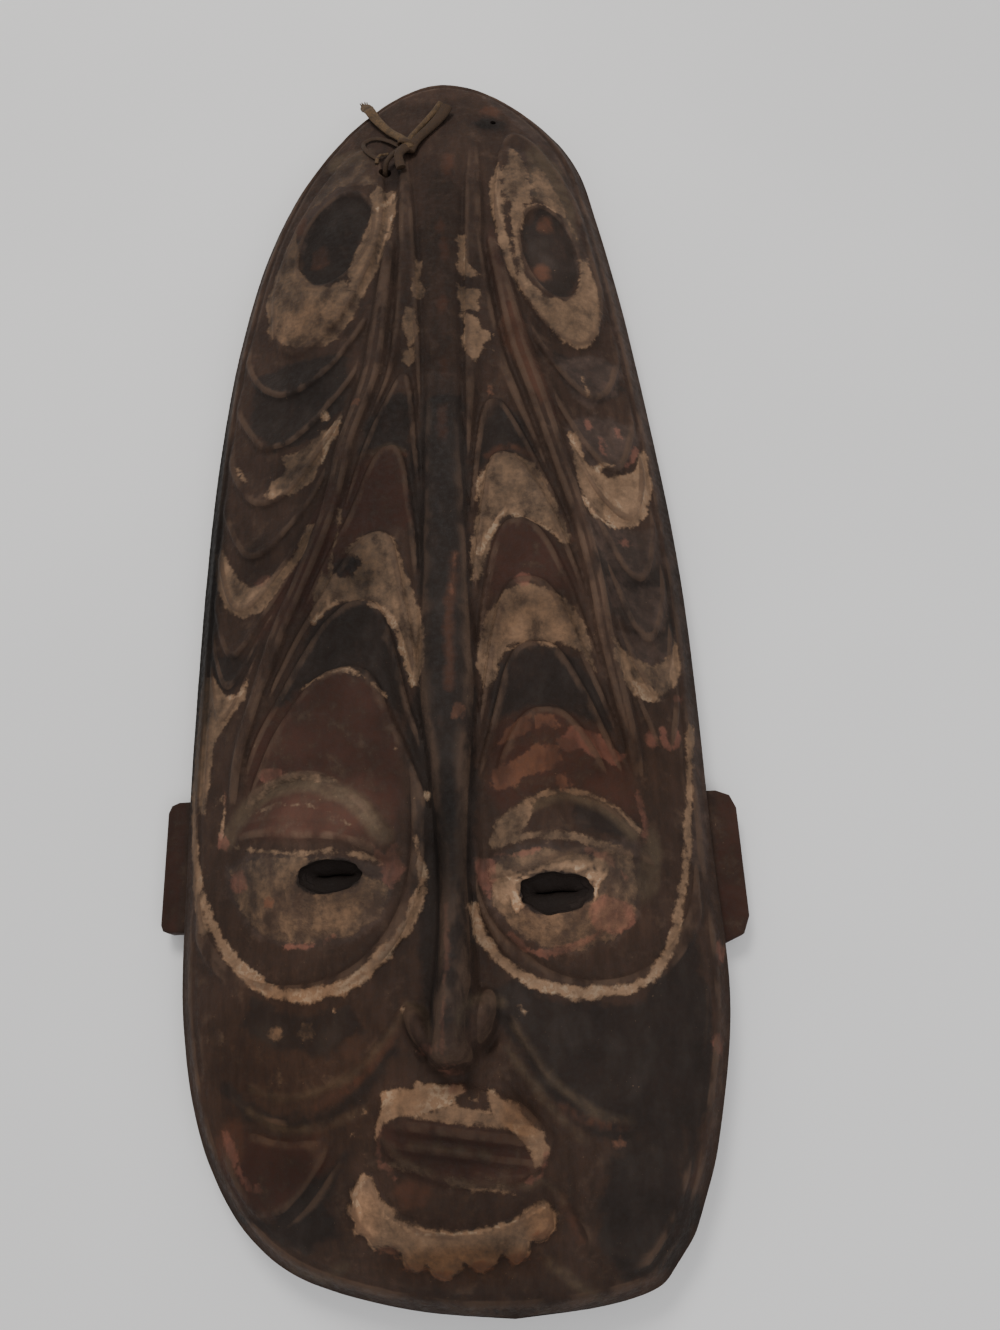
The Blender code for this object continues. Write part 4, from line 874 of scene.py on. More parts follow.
# Every other paint, by the kind of its shapes
paints = dict(
    rust=dict(
        spot=[(53, 853, 9, 6), (12, 715, 3, 7), (14, 692, 4, 12), (12, 640, 3, 8), (13, 586, 3, 8),
              (11, 536, 3, 12), (18, 784, 4, 12), (90, 721, 6, 9), (84, 674, 7, 8), (-81, 702, 7, 11),
              (-100, 745, 5, 14), (-126, 92, 10, 14)],
        line=[(6.5, (17, 434), (14, 410), (11, 385), (12, 360), (11, 343)),
              (4.0, (40, 512), (48, 518), (58, 520), (68, 512)),
              (4.0, (-42, 512), (-30, 521), (-16, 516)),
              (4.0, (-26, 150), (-42, 130), (-58, 118), (-76, 110)),
              (4.0, (64, 106), (80, 98), (100, 95)),
              (4.0, (60, 62), (65, 52), (70, 40)),
              (2.4, (66, 508), (78, 484), (92, 450)),
              (3.0, (-20, 164), (-30, 146), (-44, 132))],
        patch=[((50, 614), (60, 640), (66, 640), (84, 560), (78, 552), (62, 590)),
               ((-30, 70), (-22, 74), (-6, 70), (-12, 60), (-24, 58))],
    ),
    orange=dict(
        spot=[(15, 330, 4, 5), (-34, 38, 5, 2.6), (-19, 29, 5, 2.6), (-3, 25, 6, 2.6), (16, 29, 6, 2.6),
              (35, 32, 5, 2.6), (48, 43, 5, 2.6), (-103, 225, 3, 2.4), (93, 87, 4, 2.4), (-50, 560, 3, 3),
              (43, 565, 2, 3)],
        line=[(1.6, (17, 436), (15, 420), (13, 405)),
              (1.6, (164, 234), (173, 232), (182, 229))],
        patch=[((32, 284), (34, 296), (46, 300), (60, 309), (74, 309), (77, 300), (66, 293), (52, 291),
                (42, 282)),
               ((72, 290), (77, 293), (82, 285), (74, 280)),
               ((36, 309), (44, 322), (58, 330), (72, 328), (79, 320), (64, 320), (50, 314))],
    ),
    pink=dict(
        spot=[(-136, 264, 4, 4), (-125, 240, 7, 7), (5, 127, 6, 2.4), (8, 118, 5, 3), (132, 315, 4, 6),
              (153, 344, 3, 3), (128, 452, 4.5, 3.5), (118, 526, 3, 7), (109, 543, 3, 5), (131, 540, 2, 4),
              (163, 186, 3, 7), (156, 135, 3, 6), (-7, 139, 6, 3), (58, 420, 6, 5), (-115, 438, 6, 4),
              (-105, 303, 8, 3)],
        line=[(2.6, (-140, 262), (-139, 274)),
              (2.6, (-137, 286), (-138, 302)),
              (4.0, (40, 200), (50, 190), (62, 187)),
              (4.0, (66, 189), (78, 192), (92, 197)),
              (2.6, (-96, 199), (-76, 199), (-62, 203)),
              (0.9, (4, 128), (4, 150), (5, 176)),
              (3.6, (141, 322), (143, 311), (149, 312), (150, 322)),
              (3.6, (143, 530), (139, 520), (134, 513)),
              (3.5, (6, 180), (6, 216)),
              (2.6, (-36, 100), (-36, 84), (-28, 74)),
              (2.6, (54, 84), (52, 74), (44, 70)),
              (3.0, (88, 244), (100, 240), (110, 228)),
              (2.0, (34, 244), (46, 243), (60, 246)),
              (4.0, (-130, 100), (-122, 84), (-114, 72), (-108, 70)),
              (2.5, (122, 250), (124, 262), (121, 282))],
        patch=[((74, 312), (84, 321), (96, 319), (107, 311), (114, 304), (110, 297), (98, 302), (88, 306),
                (78, 305)),
               ((-31, 232), (-27, 227), (-23, 236), (-19, 240), (-25, 248), (-24, 256), (-31, 248),
                (-38, 254), (-36, 246)),
               ((22, 242), (23, 228), (30, 220), (35, 232), (34, 242)),
               ((86, 212), (96, 220), (112, 214), (114, 203), (100, 196), (88, 201))],
    ),
    olive=dict(
        spot=[(-62, 812, 20, 12)],
        line=[(3.2, (-22, 158), (-34, 144), (-46, 132), (-60, 124), (-78, 118), (-96, 117), (-112, 122)),
              (3.2, (-46, 109), (-60, 104), (-80, 100), (-98, 102), (-114, 110)),
              (3.2, (40, 150), (50, 134), (60, 121), (72, 110), (86, 101), (102, 97)),
              (3.2, (36, 138), (48, 120), (60, 104), (76, 88)),
              (2.4, (48, 72), (56, 66), (62, 58)),
              (2.4, (-38, 520), (-28, 525), (-18, 520)),
              (5.0, (-60, 30), (-74, 22), (-90, 26)),
              (5.0, (54, 28), (66, 18), (78, 10)),
              (2.4, (-36, 95), (-22, 83), (-4, 75), (20, 70), (48, 68)),
              (11.0, (-134, 266), (-129, 275), (-116, 288), (-100, 294), (-82, 296), (-62, 289), (-44, 276),
               (-32, 258)),
              (7.5, (40, 262), (48, 268), (60, 275), (76, 278), (94, 274), (108, 264), (116, 254)),
              (3.4, (-18, 91), (4, 88), (24, 84)),
              (3.6, (11, 146), (15, 160), (24, 165), (34, 162)),
              (3.0, (-20, 164), (-9, 158), (-4, 144))],
        patch=[((120, 244), (128, 262), (133, 244), (128, 222), (118, 214), (114, 226)),
               ((78, 800), (90, 815), (104, 790), (112, 750), (114, 705), (108, 720), (100, 742), (82, 745))],
    ),
    red=dict(
        patch=[((-38, 102), (-10, 103), (20, 98), (46, 90), (54, 78), (40, 66), (10, 68), (-16, 74),
                (-34, 86)),
               ((-118, 330), (-108, 345), (-84, 358), (-60, 364), (-44, 358), (-30, 343), (-22, 318),
                (-20, 285), (-24, 262), (-45, 284), (-70, 300), (-100, 300), (-122, 288)),
               ((-50, 512), (-34, 523), (-20, 518), (-12, 495), (-8, 460), (-20, 458), (-34, 462), (-52, 456),
                (-66, 440), (-62, 480)),
               ((32, 300), (36, 320), (50, 333), (66, 336), (84, 330), (104, 318), (118, 296), (122, 262),
                (112, 268), (96, 280), (76, 285), (56, 280), (40, 268), (30, 282)),
               ((-126, 104), (-100, 96), (-72, 98), (-62, 82), (-78, 64), (-100, 54), (-120, 62), (-134, 84)),
               ((40, 455), (56, 462), (74, 456), (92, 430), (92, 410), (72, 418), (52, 418), (36, 405)),
               ((-128, 268), (-114, 285), (-90, 292), (-66, 286), (-44, 270), (-30, 252), (-60, 258),
                (-100, 262)),
               ((-60, 412), (-40, 470), (-70, 500), (-100, 440), (-120, 395)),
               ((60, 660), (50, 720), (44, 700), (52, 640), (66, 590), (84, 540), (90, 545), (72, 600))],
    ),
    black=dict(
        spot=[(50, 836, 12, 7)],
        line=[(9.0, (-130, 122), (-110, 108), (-90, 104), (-70, 106), (-46, 120), (-30, 138))],
        patch=[((-8, 150), (-14, 200), (-14, 250), (-18, 330), (-8, 352), (-4, 400), (-12, 440), (-14, 500),
                (-10, 560), (-20, 566), (-44, 545), (-48, 520), (-34, 525), (-14, 512), (2, 560), (24, 560),
                (28, 520), (26, 460), (24, 400), (26, 340), (24, 270), (20, 200), (16, 150)),
               ((30, 500), (36, 535), (50, 556), (64, 545), (72, 520), (70, 508), (58, 516), (44, 512)),
               ((-78, 398), (-62, 411), (-42, 409), (-26, 394), (-16, 352), (-20, 330), (-32, 346),
                (-48, 361), (-60, 366), (-84, 358), (-104, 345)),
               ((34, 348), (42, 364), (52, 373), (76, 374), (92, 366), (104, 345), (110, 318), (92, 328),
                (66, 336), (48, 333), (34, 322)),
               ((-156, 396), (-150, 372), (-137, 363), (-124, 372), (-118, 392), (-130, 386)),
               ((24, 165), (40, 176), (70, 160), (110, 160), (130, 176), (148, 196), (154, 150), (150, 110),
                (134, 70), (112, 60), (92, 84), (70, 98), (50, 122), (40, 140)),
               ((88, 80), (120, 80), (140, 50), (120, 20), (94, 18), (78, 40)),
               ((-112, 172), (-84, 160), (-52, 164), (-44, 150), (-66, 138), (-100, 142), (-120, 156)),
               ((105, 466), (140, 460), (154, 430), (158, 392), (150, 382), (130, 384), (114, 400),
                (106, 430)),
               ((88, 600), (130, 602), (140, 580), (118, 562), (94, 575)),
               ((-130, 610), (-90, 612), (-56, 604), (-60, 560), (-80, 540), (-110, 540), (-134, 562)),
               ((-95, 758), (-100, 720), (-95, 690), (-80, 672), (-64, 673), (-54, 695), (-46, 722),
                (-40, 746), (-52, 764), (-76, 768)),
               ((73, 715), (72, 690), (78, 664), (92, 652), (104, 656), (112, 680), (112, 710), (102, 734),
                (86, 738)),
               ((-54, 432), (-44, 440), (-60, 445), (-66, 436), (-62, 430)),
               ((-146, 60), (-110, 48), (-84, 36), (-60, 46), (-70, 62), (-50, 92), (-70, 78), (-100, 52)),
               ((80, 268), (84, 276), (98, 272), (112, 262), (116, 250), (100, 254), (86, 258))],
    ),
    grey=dict(
        line=[(12.0, (156, 240), (164, 330), (162, 430), (154, 540), (140, 650), (118, 750), (86, 830),
               (52, 872)),
              (8.0, (-168, 360), (-160, 300))],
        patch=[((92, 596), (98, 566), (114, 559), (130, 572), (138, 596), (120, 606)),
               ((93, 536), (98, 518), (110, 505), (130, 508), (142, 522), (148, 544), (128, 552), (104, 548)),
               ((100, 470), (110, 440), (122, 422), (140, 424), (152, 444), (154, 468), (138, 462),
                (116, 466)),
               ((108, 430), (118, 396), (134, 384), (150, 392), (156, 420), (146, 424), (128, 416)),
               ((116, 386), (124, 350), (142, 342), (158, 358), (160, 386)),
               ((66, 805), (84, 795), (100, 768), (112, 735), (120, 700), (127, 655), (118, 640), (110, 700),
                (100, 740), (76, 750), (62, 780)),
               ((-62, 806), (-80, 786), (-100, 748), (-110, 708), (-98, 712), (-88, 750), (-62, 768),
                (-44, 790)),
               ((40, 470), (48, 498), (58, 506), (72, 494), (80, 468), (66, 474), (52, 478)),
               ((-136, 252), (-132, 230), (-117, 211), (-98, 199), (-75, 196), (-51, 199), (-34, 211),
                (-26, 226), (-26, 240), (-60, 248), (-90, 252), (-114, 256)),
               ((28, 240), (30, 216), (42, 200), (58, 190), (80, 187), (100, 192), (114, 204), (120, 224),
                (120, 250), (104, 252), (88, 246), (60, 250), (40, 248))],
    ),
)

# Soft areas that are lighter or darker than the rest: centre, half sizes and by how much.
# Some of them are painted shade: the bevelled band down the left edge, which faces away from the light,
# the left side of the left oval, which turns away, and the pocket under the tie's knot.
toneAndShadeSpots = [
    (-164, 470, 16, 190, -1.8), (8, 650, 44, 130, -0.44), (-60, 470, 50, 150, -0.12),
    (-95, 590, 34, 26, -0.10), (112, 580, 24, 22, 0.10), (-75, 275, 60, 26, 0.60),
    (-80, 215, 55, 24, 0.22), (75, 208, 55, 26, 0.50), (-95, 75, 34, 26, -0.15), (10, 405, 10, 50, 0.10),
    (104, 440, 12, 110, 0.40), (8, 250, 12, 44, -1.02), (7, 440, 15, 170, -0.22), (92, 697, 24, 48, 0.40),
    (120, 540, 26, 24, 0.25), (-100, 555, 34, 22, 0.15), (52, 836, 16, 9, -0.45), (12, 880, 60, 16, 0.25),
    (-25, 780, 13, 17, -0.75), (-110, 722, 14, 34, -0.40), (52, 831, 15, 13, -0.35),
    (2, 88, 46, 13, -0.46), (-60, 388, 34, 22, -0.22), (-60, 800, 26, 20, -0.30), (8, 32, 50, 12, -0.30),
    (30, 8, 60, 14, -0.22), (-66, 470, 26, 120, -0.22), (-92, 150, 50, 34, -0.06),
    (-45, 430, 14, 14, -0.25), (-158, 450, 8, 60, -0.4), (-100, 560, 30, 60, -0.12),
    (5, 78, 44, 12, -0.10), (40, 0, 60, 12, -0.15), (-38, 70, 18, 30, 0.06), (164, 450, 12, 150, -0.35),
    (42, 103, 12, 16, -0.30), (8, 34, 44, 10, -0.12), (-44, 56, 12, 18, 0.30), (-100, 450, 22, 30, -0.1),
    (-30, 490, 24, 36, -0.34), (-46, 434, 26, 24, -0.28), (-28, 548, 24, 22, -0.22),
    (-84, 445, 14, 60, -0.36), (-124, 454, 16, 20, -0.40), (-96, 515, 20, 14, -0.26),
    (-74, 717, 44, 106, -0.22), (66, 393, 34, 22, -0.20), (10, 770, 14, 40, -0.22),
    (8, 70, 50, 36, -0.20), (-95, 75, 40, 30, -0.18), (94, 628, 28, 24, -0.16), (30, 10, 60, 14, -0.14),
    (105, 125, 36, 30, 0.14), (-80, 150, 40, 24, 0.16),
]
# Where the paint is warmed, with the strength: ochre soaked into it, and on the lower face also painted warm
# light, as light thrown up off the floor would give
stainAndWarmLightSpots = [
    (8, 30, 52, 12, 0.9), (-46, 56, 14, 18, 0.4), (50, 48, 12, 14, 0.6), (42, 103, 14, 18, 0.6),
    (-22, 112, 18, 10, 0.35), (75, 205, 50, 26, 0.45), (-80, 215, 55, 30, 0.35), (-90, 640, 40, 26, 0.25),
    (90, 300, 70, 40, 0.45), (66, 393, 40, 30, 0.25), (-85, 130, 70, 66, 0.60), (5, 80, 70, 60, 0.20),
]


insideShape = dict(patch=insidePatch, line=insideLine, spot=insideSpot)
paintReach = 12.0       # how far around its edge a paint is measured
strokeEdge = 0.3        # a later white stroke covers an earlier one where it lies deeper than this
elsewhere = dict(whiteLeft=0.5, tone=0.0, stainAndWarmLight=0.0)
# The front is what lies above the lowest level and isn't sunk far under the carving; the dark of an eye
# starts a little under its rim, ends over the hollow side and reaches a little wider than the eye
frontForm = dict(lowest=22.0, sunk=4.0, overEdge=0.3, pastEdge=1.0)
eyeDark = dict(underRim=1.0, overBack=2.0, wider=1.2)
polished = (130, 580)


def paintField(x, y, paint):
    field = np.full(x.shape, -paintReach)
    for kind, shapes in paint.items():
        for shape in shapes:
            field = np.maximum(field, insideShape[kind](x, y, *shape))
    return np.minimum(field, paintReach)


def whiteField(x, y):
    field = np.full(x.shape, -paintReach)
    left = np.full(x.shape, elsewhere["whiteLeft"])
    for kind, share, *shape in whitePaint:
        away = np.clip(insideShape[kind](x, y, *shape), -paintReach, paintReach)
        left = np.where(away > np.minimum(field, strokeEdge), share, left)
        field = np.maximum(field, away)
    return field, left


def eyeDishes(x, y):
    # the dish of each eye is painted dark over everything else
    awayX, awayY = x + 2.4 * lumps(x, y, 6.5, 41), y + 1.8 * lumps(x, y, 5.5, 42)
    dishes = [insideSpot(awayX, awayY, *side["eyeHole"]) for side in (leftSide, rightSide)]
    return np.clip(np.maximum(*dishes), -paintReach, paintReach)


def layPaint(piece):
    places = points(piece) / mm
    x, y, z = places[:, 0], places[:, 1] + middleY, places[:, 2]
    pastEdge = np.abs(x - middleX(y)) - halfWidth(y)
    front = (pastEdge < frontForm["overEdge"]) & (z > frontForm["lowest"])
    roof = np.full(len(x), 1e3)
    roof[front] = frontHeight(x[front], y[front])
    front &= z > roof - frontForm["sunk"]
    fx, fy = x[front], y[front]
    fields = {name: paintField(fx, fy, paint) for name, paint in paints.items()}
    fields["white"], fields["whiteLeft"] = whiteField(fx, fy)
    fields["dish"] = eyeDishes(fx, fy)
    fields["tone"], fields["stainAndWarmLight"] = np.zeros(fx.shape), np.zeros(fx.shape)
    # the tone spots lighten or darken the paint, some of them as painted shade
    for *place, amount in toneAndShadeSpots:
        fields["tone"] += amount * (1 - rise(0.3, 1.25, oval(fx, fy, *place)))
    # the stains warm the paint: ochre in it, and on the lower face painted warm light
    for *place, amount in stainAndWarmLightSpots:
        fields["stainAndWarmLight"] = np.maximum(fields["stainAndWarmLight"], amount * (1 - rise(0.4, 1.2, oval(fx, fy, *place))))
    whole = {}
    for name, values in fields.items():
        whole[name] = np.full(len(x), elsewhere.get(name, -paintReach))
        whole[name][front] = values
    # the ears are reddish, the left one darker
    lug = pastEdge > frontForm["pastEdge"]
    whole["red"][lug] = paintReach
    whole["tone"][lug] = np.where(x[lug] < 0, earForm["left"]["tone"], earForm["right"]["tone"])
    whole["hollow"] = np.where(front, readField(hollowField, x, y), 0.0)
    # the dark of the eyes goes down their holes and stops short of the hollow side
    below = z < readField(surfaceField, x, y) - eyeDark["underRim"]
    below &= z > backHeight(x, y) + eyeDark["overBack"]
    for side in (leftSide, rightSide):
        inHole = oval(x, y, *side["eyeHole"]) < eyeDark["wider"]
        whole["dish"][below & inHole] = paintReach
    # the ridge is polished where hands have held it
    ridge = np.abs(x - through(maskForm["ridgeLine"], y)) < through(maskForm["ridgeHalf"], y)
    whole["polish"] = (ridge & front & (y > polished[0]) & (y < polished[1])).astype(float)
    for name, values in whole.items():
        layer = piece.data.attributes.new(name, "FLOAT", "POINT")
        layer.data.foreach_set("value", values.astype(np.float32))


layPaint(maskCarving)
print("the paint is laid")


class Nodes:
    # short names for building a material's nodes
    def __init__(self, name):
        self.material = bpy.data.materials.new(name)
        self.material.use_nodes = True
        self.tree = self.material.node_tree
        self.shader = self.tree.nodes["Principled BSDF"]

    def add(self, kind, **settings):
        node = self.tree.nodes.new(kind)
        for name, value in settings.items():
            setattr(node, name, value)
        return node

    def give(self, value, socket):
        # a socket takes a number, a colour or another node's output
        if isinstance(value, (int, float)):
            socket.default_value = value
        elif isinstance(value, tuple):
            socket.default_value = (*value, 1.0)
        else:
            self.tree.links.new(value, socket)

    def math(self, operation, *values):
        node = self.add("ShaderNodeMath", operation=operation)
        for value, socket in zip(values, node.inputs):
            self.give(value, socket)
        return node.outputs[0]

    def plus(self, first, second):
        return self.math("ADD", first, second)

    def times(self, first, second):
        return self.math("MULTIPLY", first, second)

    def sway(self, noise, reach):
        # a noise that swings around nothing
        return self.times(self.math("SUBTRACT", noise, 0.5), reach)

    def ramp(self, value, low, high, start=0.0, end=1.0):
        node = self.add("ShaderNodeMapRange", interpolation_type="SMOOTHSTEP")
        names = ("Value", "From Min", "From Max", "To Min", "To Max")
        for given, name in zip((value, low, high, start, end), names):
            self.give(given, node.inputs[name])
        return node.outputs["Result"]

    def mix(self, share, first, second, blend="MIX"):
        node = self.add("ShaderNodeMix", data_type="RGBA", blend_type=blend)
        for value, number in ((share, 0), (first, 6), (second, 7)):
            self.give(value, node.inputs[number])
        return node.outputs[2]

    def coordinates(self, stretch=(1, 1, 1)):
        place = self.add("ShaderNodeTexCoord")
        node = self.add("ShaderNodeMapping")
        node.inputs["Scale"].default_value = stretch
        self.give(place.outputs["Object"], node.inputs["Vector"])
        return node.outputs["Vector"]

    def noise(self, place, scale, detail, roughness):
        node = self.add("ShaderNodeTexNoise")
        given = dict(Vector=place, Scale=scale, Detail=detail, Roughness=roughness)
        for name, value in given.items():
            self.give(value, node.inputs[name])
        return node.outputs[0]

    def read(self, name):
        return self.add("ShaderNodeAttribute", attribute_name=name).outputs["Fac"]

    def bump(self, height, distance, strength):
        node = self.add("ShaderNodeBump")
        for name, value in dict(Distance=distance, Strength=strength, Height=height).items():
            self.give(value, node.inputs[name])
        self.give(node.outputs["Normal"], self.shader.inputs["Normal"])


paintColours = dict(
    wood=(0.046, 0.0262, 0.0185), woodDark=(0.030, 0.0178, 0.0128), bareWood=(0.086, 0.053, 0.036),
    red=(0.048, 0.0212, 0.0152), black=(0.0205, 0.0140, 0.0113), blackDusty=(0.033, 0.0245, 0.0205),
    grey=(0.066, 0.043, 0.034), greyDark=(0.038, 0.0262, 0.0212),
    rust=(0.068, 0.0315, 0.0200), orange=(0.120, 0.056, 0.035), pink=(0.180, 0.078, 0.056),
    olive=(0.078, 0.054, 0.035),
    white=(0.222, 0.137, 0.084), whiteThin=(0.092, 0.0605, 0.0405), whiteChip=(0.34, 0.245, 0.165),
    # the hollows' dark colour is dirt and painted shade together
    dirtAndShade=(0.018, 0.0122, 0.0095), dish=(0.0165, 0.0112, 0.0092), ochreAndWarmLight=(1.0, 0.80, 0.62),
)


def paintedWood():
    made = Nodes("paintedWood")
    colours = paintColours
    plain = made.coordinates()
    streak = made.noise(made.coordinates((1.0, 0.22, 0.8)), 170, 5, 0.65)
    stroke = made.noise(made.coordinates((1.0, 0.5, 1.0)), 75, 3, 0.5)
    broad = made.noise(plain, 26, 4, 0.6)
    blotch = made.noise(plain, 85, 6, 0.65)
    fine = made.noise(plain, 280, 5, 0.62)
    speck = made.noise(plain, 800, 3, 0.6)
    ragged = made.plus(blotch, made.sway(fine, 0.45))

    def edged(paint, wander, noise, soft):
        # how much of a paint lies here, with its edge pushed about by a noise
        return made.ramp(made.plus(made.read(paint), made.sway(noise, wander)), -soft, soft)

    def laid(colour, paint, edge, wear, coat):
        # one coat over the others, rubbed thin by a noise
        return made.mix(made.times(edged(paint, *edge), made.ramp(*wear)), colour, coat)

    colour = made.mix(made.ramp(streak, 0.25, 0.75), colours["woodDark"], colours["wood"])
    colour = made.mix(made.ramp(blotch, 0.50, 0.76, 0.0, 0.50), colour, colours["bareWood"])
    redCoat = made.mix(made.ramp(blotch, 0.42, 0.70), colours["red"], colour)
    blackCoat = made.mix(made.ramp(stroke, 0.42, 0.80), colours["black"], colours["blackDusty"])
    greyCoat = made.mix(made.ramp(blotch, 0.36, 0.66), colours["greyDark"], colours["grey"])
    colour = laid(colour, "red", (18.0, blotch, 4.0), (stroke, 0.3, 0.5, 0.6, 0.9), redCoat)
    colour = laid(colour, "black", (18.0, blotch, 3.0), (stroke, 0.26, 0.44, 0.60, 0.95), blackCoat)
    colour = laid(colour, "grey", (12.0, blotch, 2.5), (stroke, 0.32, 0.52, 0.5, 0.95), greyCoat)
    colour = laid(colour, "rust", (10.0, blotch, 2.6), (stroke, 0.34, 0.58, 0.40, 0.95), colours["rust"])
    colour = laid(colour, "olive", (6.0, stroke, 3.0), (blotch, 0.36, 0.60, 0.40, 0.90), colours["olive"])
    # white paint is thin where little of it is left, and its surest strokes keep chips of fresh white
    flow = made.plus(made.plus(made.sway(stroke, 1.3), made.sway(blotch, 1.1)), made.sway(fine, 0.45))
    kept = made.plus(made.read("whiteLeft"), flow)
    whiteMask = made.times(edged("white", 9.0, ragged, 1.1), made.ramp(kept, -0.10, 0.38, 0.15, 1.0))
    whiteCoat = made.mix(made.ramp(kept, 0.12, 0.98), colours["whiteThin"], colours["white"])
    chips = made.times(made.ramp(kept, 0.75, 1.1), made.ramp(fine, 0.56, 0.46))
    whiteCoat = made.mix(made.times(chips, 0.80), whiteCoat, colours["whiteChip"])
    whiteCoat = made.mix(made.ramp(speck, 0.60, 0.70, 0.0, 0.22), whiteCoat, colours["woodDark"])
    colour = made.mix(whiteMask, colour, whiteCoat)
    colour = laid(colour, "orange", (10.0, ragged, 1.1), (stroke, 0.32, 0.56, 0.30, 0.85), colours["orange"])
    colour = laid(colour, "pink", (9.0, ragged, 1.1), (stroke, 0.38, 0.60, 0.20, 0.65), colours["pink"])
    # crests are rubbed to bare wood, and the hollows are darkened with dirt and with painted shade where the
    # carving would shade them
    hollow = made.read("hollow")
    worn = made.times(made.ramp(hollow, -0.12, -0.55, 0.0, 0.70), made.ramp(stroke, 0.36, 0.60))
    colour = made.mix(worn, colour, colours["bareWood"])
    fleck = made.times(made.ramp(speck, 0.70, 0.74), made.ramp(blotch, 0.48, 0.60, 0.0, 0.8))
    colour = made.mix(fleck, colour, colours["white"])
    # painted shade and dirt darken the hollows
    colour = made.mix(made.ramp(hollow, 0.15, 0.90, 0.0, 0.15), colour, colours["dirtAndShade"])
    # the ochre tint is a stain in the paint and, on the lower face, painted warm light
    colour = made.mix(made.read("stainAndWarmLight"), colour, colours["ochreAndWarmLight"], "MULTIPLY")
    colour = made.mix(edged("dish", 5.0, fine, 0.9), colour, colours["dish"])
    mottle = made.times(made.ramp(broad, 0.30, 0.72, 0.82, 1.18), made.ramp(fine, 0.3, 0.7, 0.92, 1.08))
    # the tone darkens or lightens the paint, and in places it is painted shade
    shade = made.add("ShaderNodeHueSaturation")
    made.give(colour, shade.inputs["Color"])
    made.give(made.times(mottle, made.math("EXPONENT", made.read("tone"))), shade.inputs["Value"])
    made.give(shade.outputs[0], made.shader.inputs["Base Color"])
    polish = made.ramp(made.read("polish"), 0.2, 0.9, 0.0, 0.10)
    rough = made.math("SUBTRACT", made.ramp(fine, 0.3, 0.7, 0.66, 0.90), polish)
    made.give(rough, made.shader.inputs["Roughness"])
    made.shader.inputs["Specular IOR Level"].default_value = 0.20
    height = made.times(streak, 0.6)
    for layer, amount in ((fine, 0.5), (blotch, 1.0), (whiteMask, 0.55), (speck, 0.2)):
        height = made.plus(height, made.times(layer, amount))
    made.bump(height, 0.0012, 0.7)
    return made.material


def dress(piece, material, sharpAngle):
    piece.data.materials.clear()
    piece.data.materials.append(material)
    choose(piece)
    bpy.ops.object.shade_smooth_by_angle(angle=math.radians(sharpAngle))


dress(maskCarving, paintedWood(), 55)
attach(maskCarving, "root")
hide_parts("carved_mask")
print("the mask is painted")

# The cane tie. Each strand is a few places on the mask, with its height over the wood in millimetres.
tieForm = dict(
    # a strand's pale value is its own paleness and painted light together: the stub, the right strand's fold
    # and the leg are kept dark as painted shade where shadow falls on them
    strands=dict(
        leftEnd=dict(width=6.8, thick=3.6, taper=0.50, paleAndLit=0.80,
                     places=[(-53, 886, 5.0), (-49, 872, 3.6), (-43.5, 857, 2.0), (-36.5, 843, 1.2),
                             (-28.5, 830, 1.6), (-21, 819, 3.0), (-14, 808, 4.6), (-11, 801, 3.4)]),
        rightEnd=dict(width=5.0, thick=3.4, taper=0.15, paleAndLit=0.62,
                      places=[(13, 857, 3.4), (8, 848, 2.0), (0, 836, 1.0), (-7, 824, 1.6), (-12, 813, 3.0),
                              (-14, 802, 3.0)]),
        rightFold=dict(width=8.2, thick=4.2, taper=0.30, paleAndLit=0.05,
                       places=[(18, 852, 3.0), (13, 842, 1.2), (5, 830, 0.4), (-2, 820, 0.6), (-8, 810, 1.6),
                               (-12, 799, 1.8)]),
        stub=dict(width=7.6, thick=4.0, taper=0.30, paleAndLit=0.05,
                  places=[(-11, 806, 2.4), (-16, 801, 3.6), (-20, 794, 3.6), (-19.5, 786, 2.4),
                          (-18, 780, 1.4)]),
        bight=dict(width=3.8, thick=1.1, taper=0.0, paleAndLit=0.0,
                   places=[(-12, 799, 2.8), (-19, 808, 2.2), (-28, 819, 1.4), (-36, 826, 0.7),
                           (-44, 829, 0.2), (-50, 826, 0.0), (-50, 818, 0.0), (-46, 809, 0.1),
                           (-41, 802, 0.4), (-37, 798, 0.8)]),
        hook=dict(width=2.6, thick=1.2, taper=0.3, paleAndLit=0.7,
                  places=[(-38.5, 793, 0.3), (-38.2, 797, 0.5), (-37, 801, 0.7), (-35, 804, 0.8),
                          (-32.5, 805.5, 0.8), (-29.5, 806, 0.5)]),
    ),
    wrap=dict(width=4.4, thick=2.2, paleAndLit=0.18, centre=(-14, 808, 3.2), turn=62.0, radius=(6.6, 3.8),
              turns=1.05, lead=3.0),
    leg=dict(width=4.2, thick=2.8, paleAndLit=0.0, end=11.0,
             places=[(15, 19, 3.4), (10, 15, 3.0), (5, 10, 2.8), (2, 5, 2.0), (0, 0, -3.0), (0, 0, -10.0)]),
    splinters=dict(count=7, width=1.6, thick=1.0, paleAndLit=0.7),
)


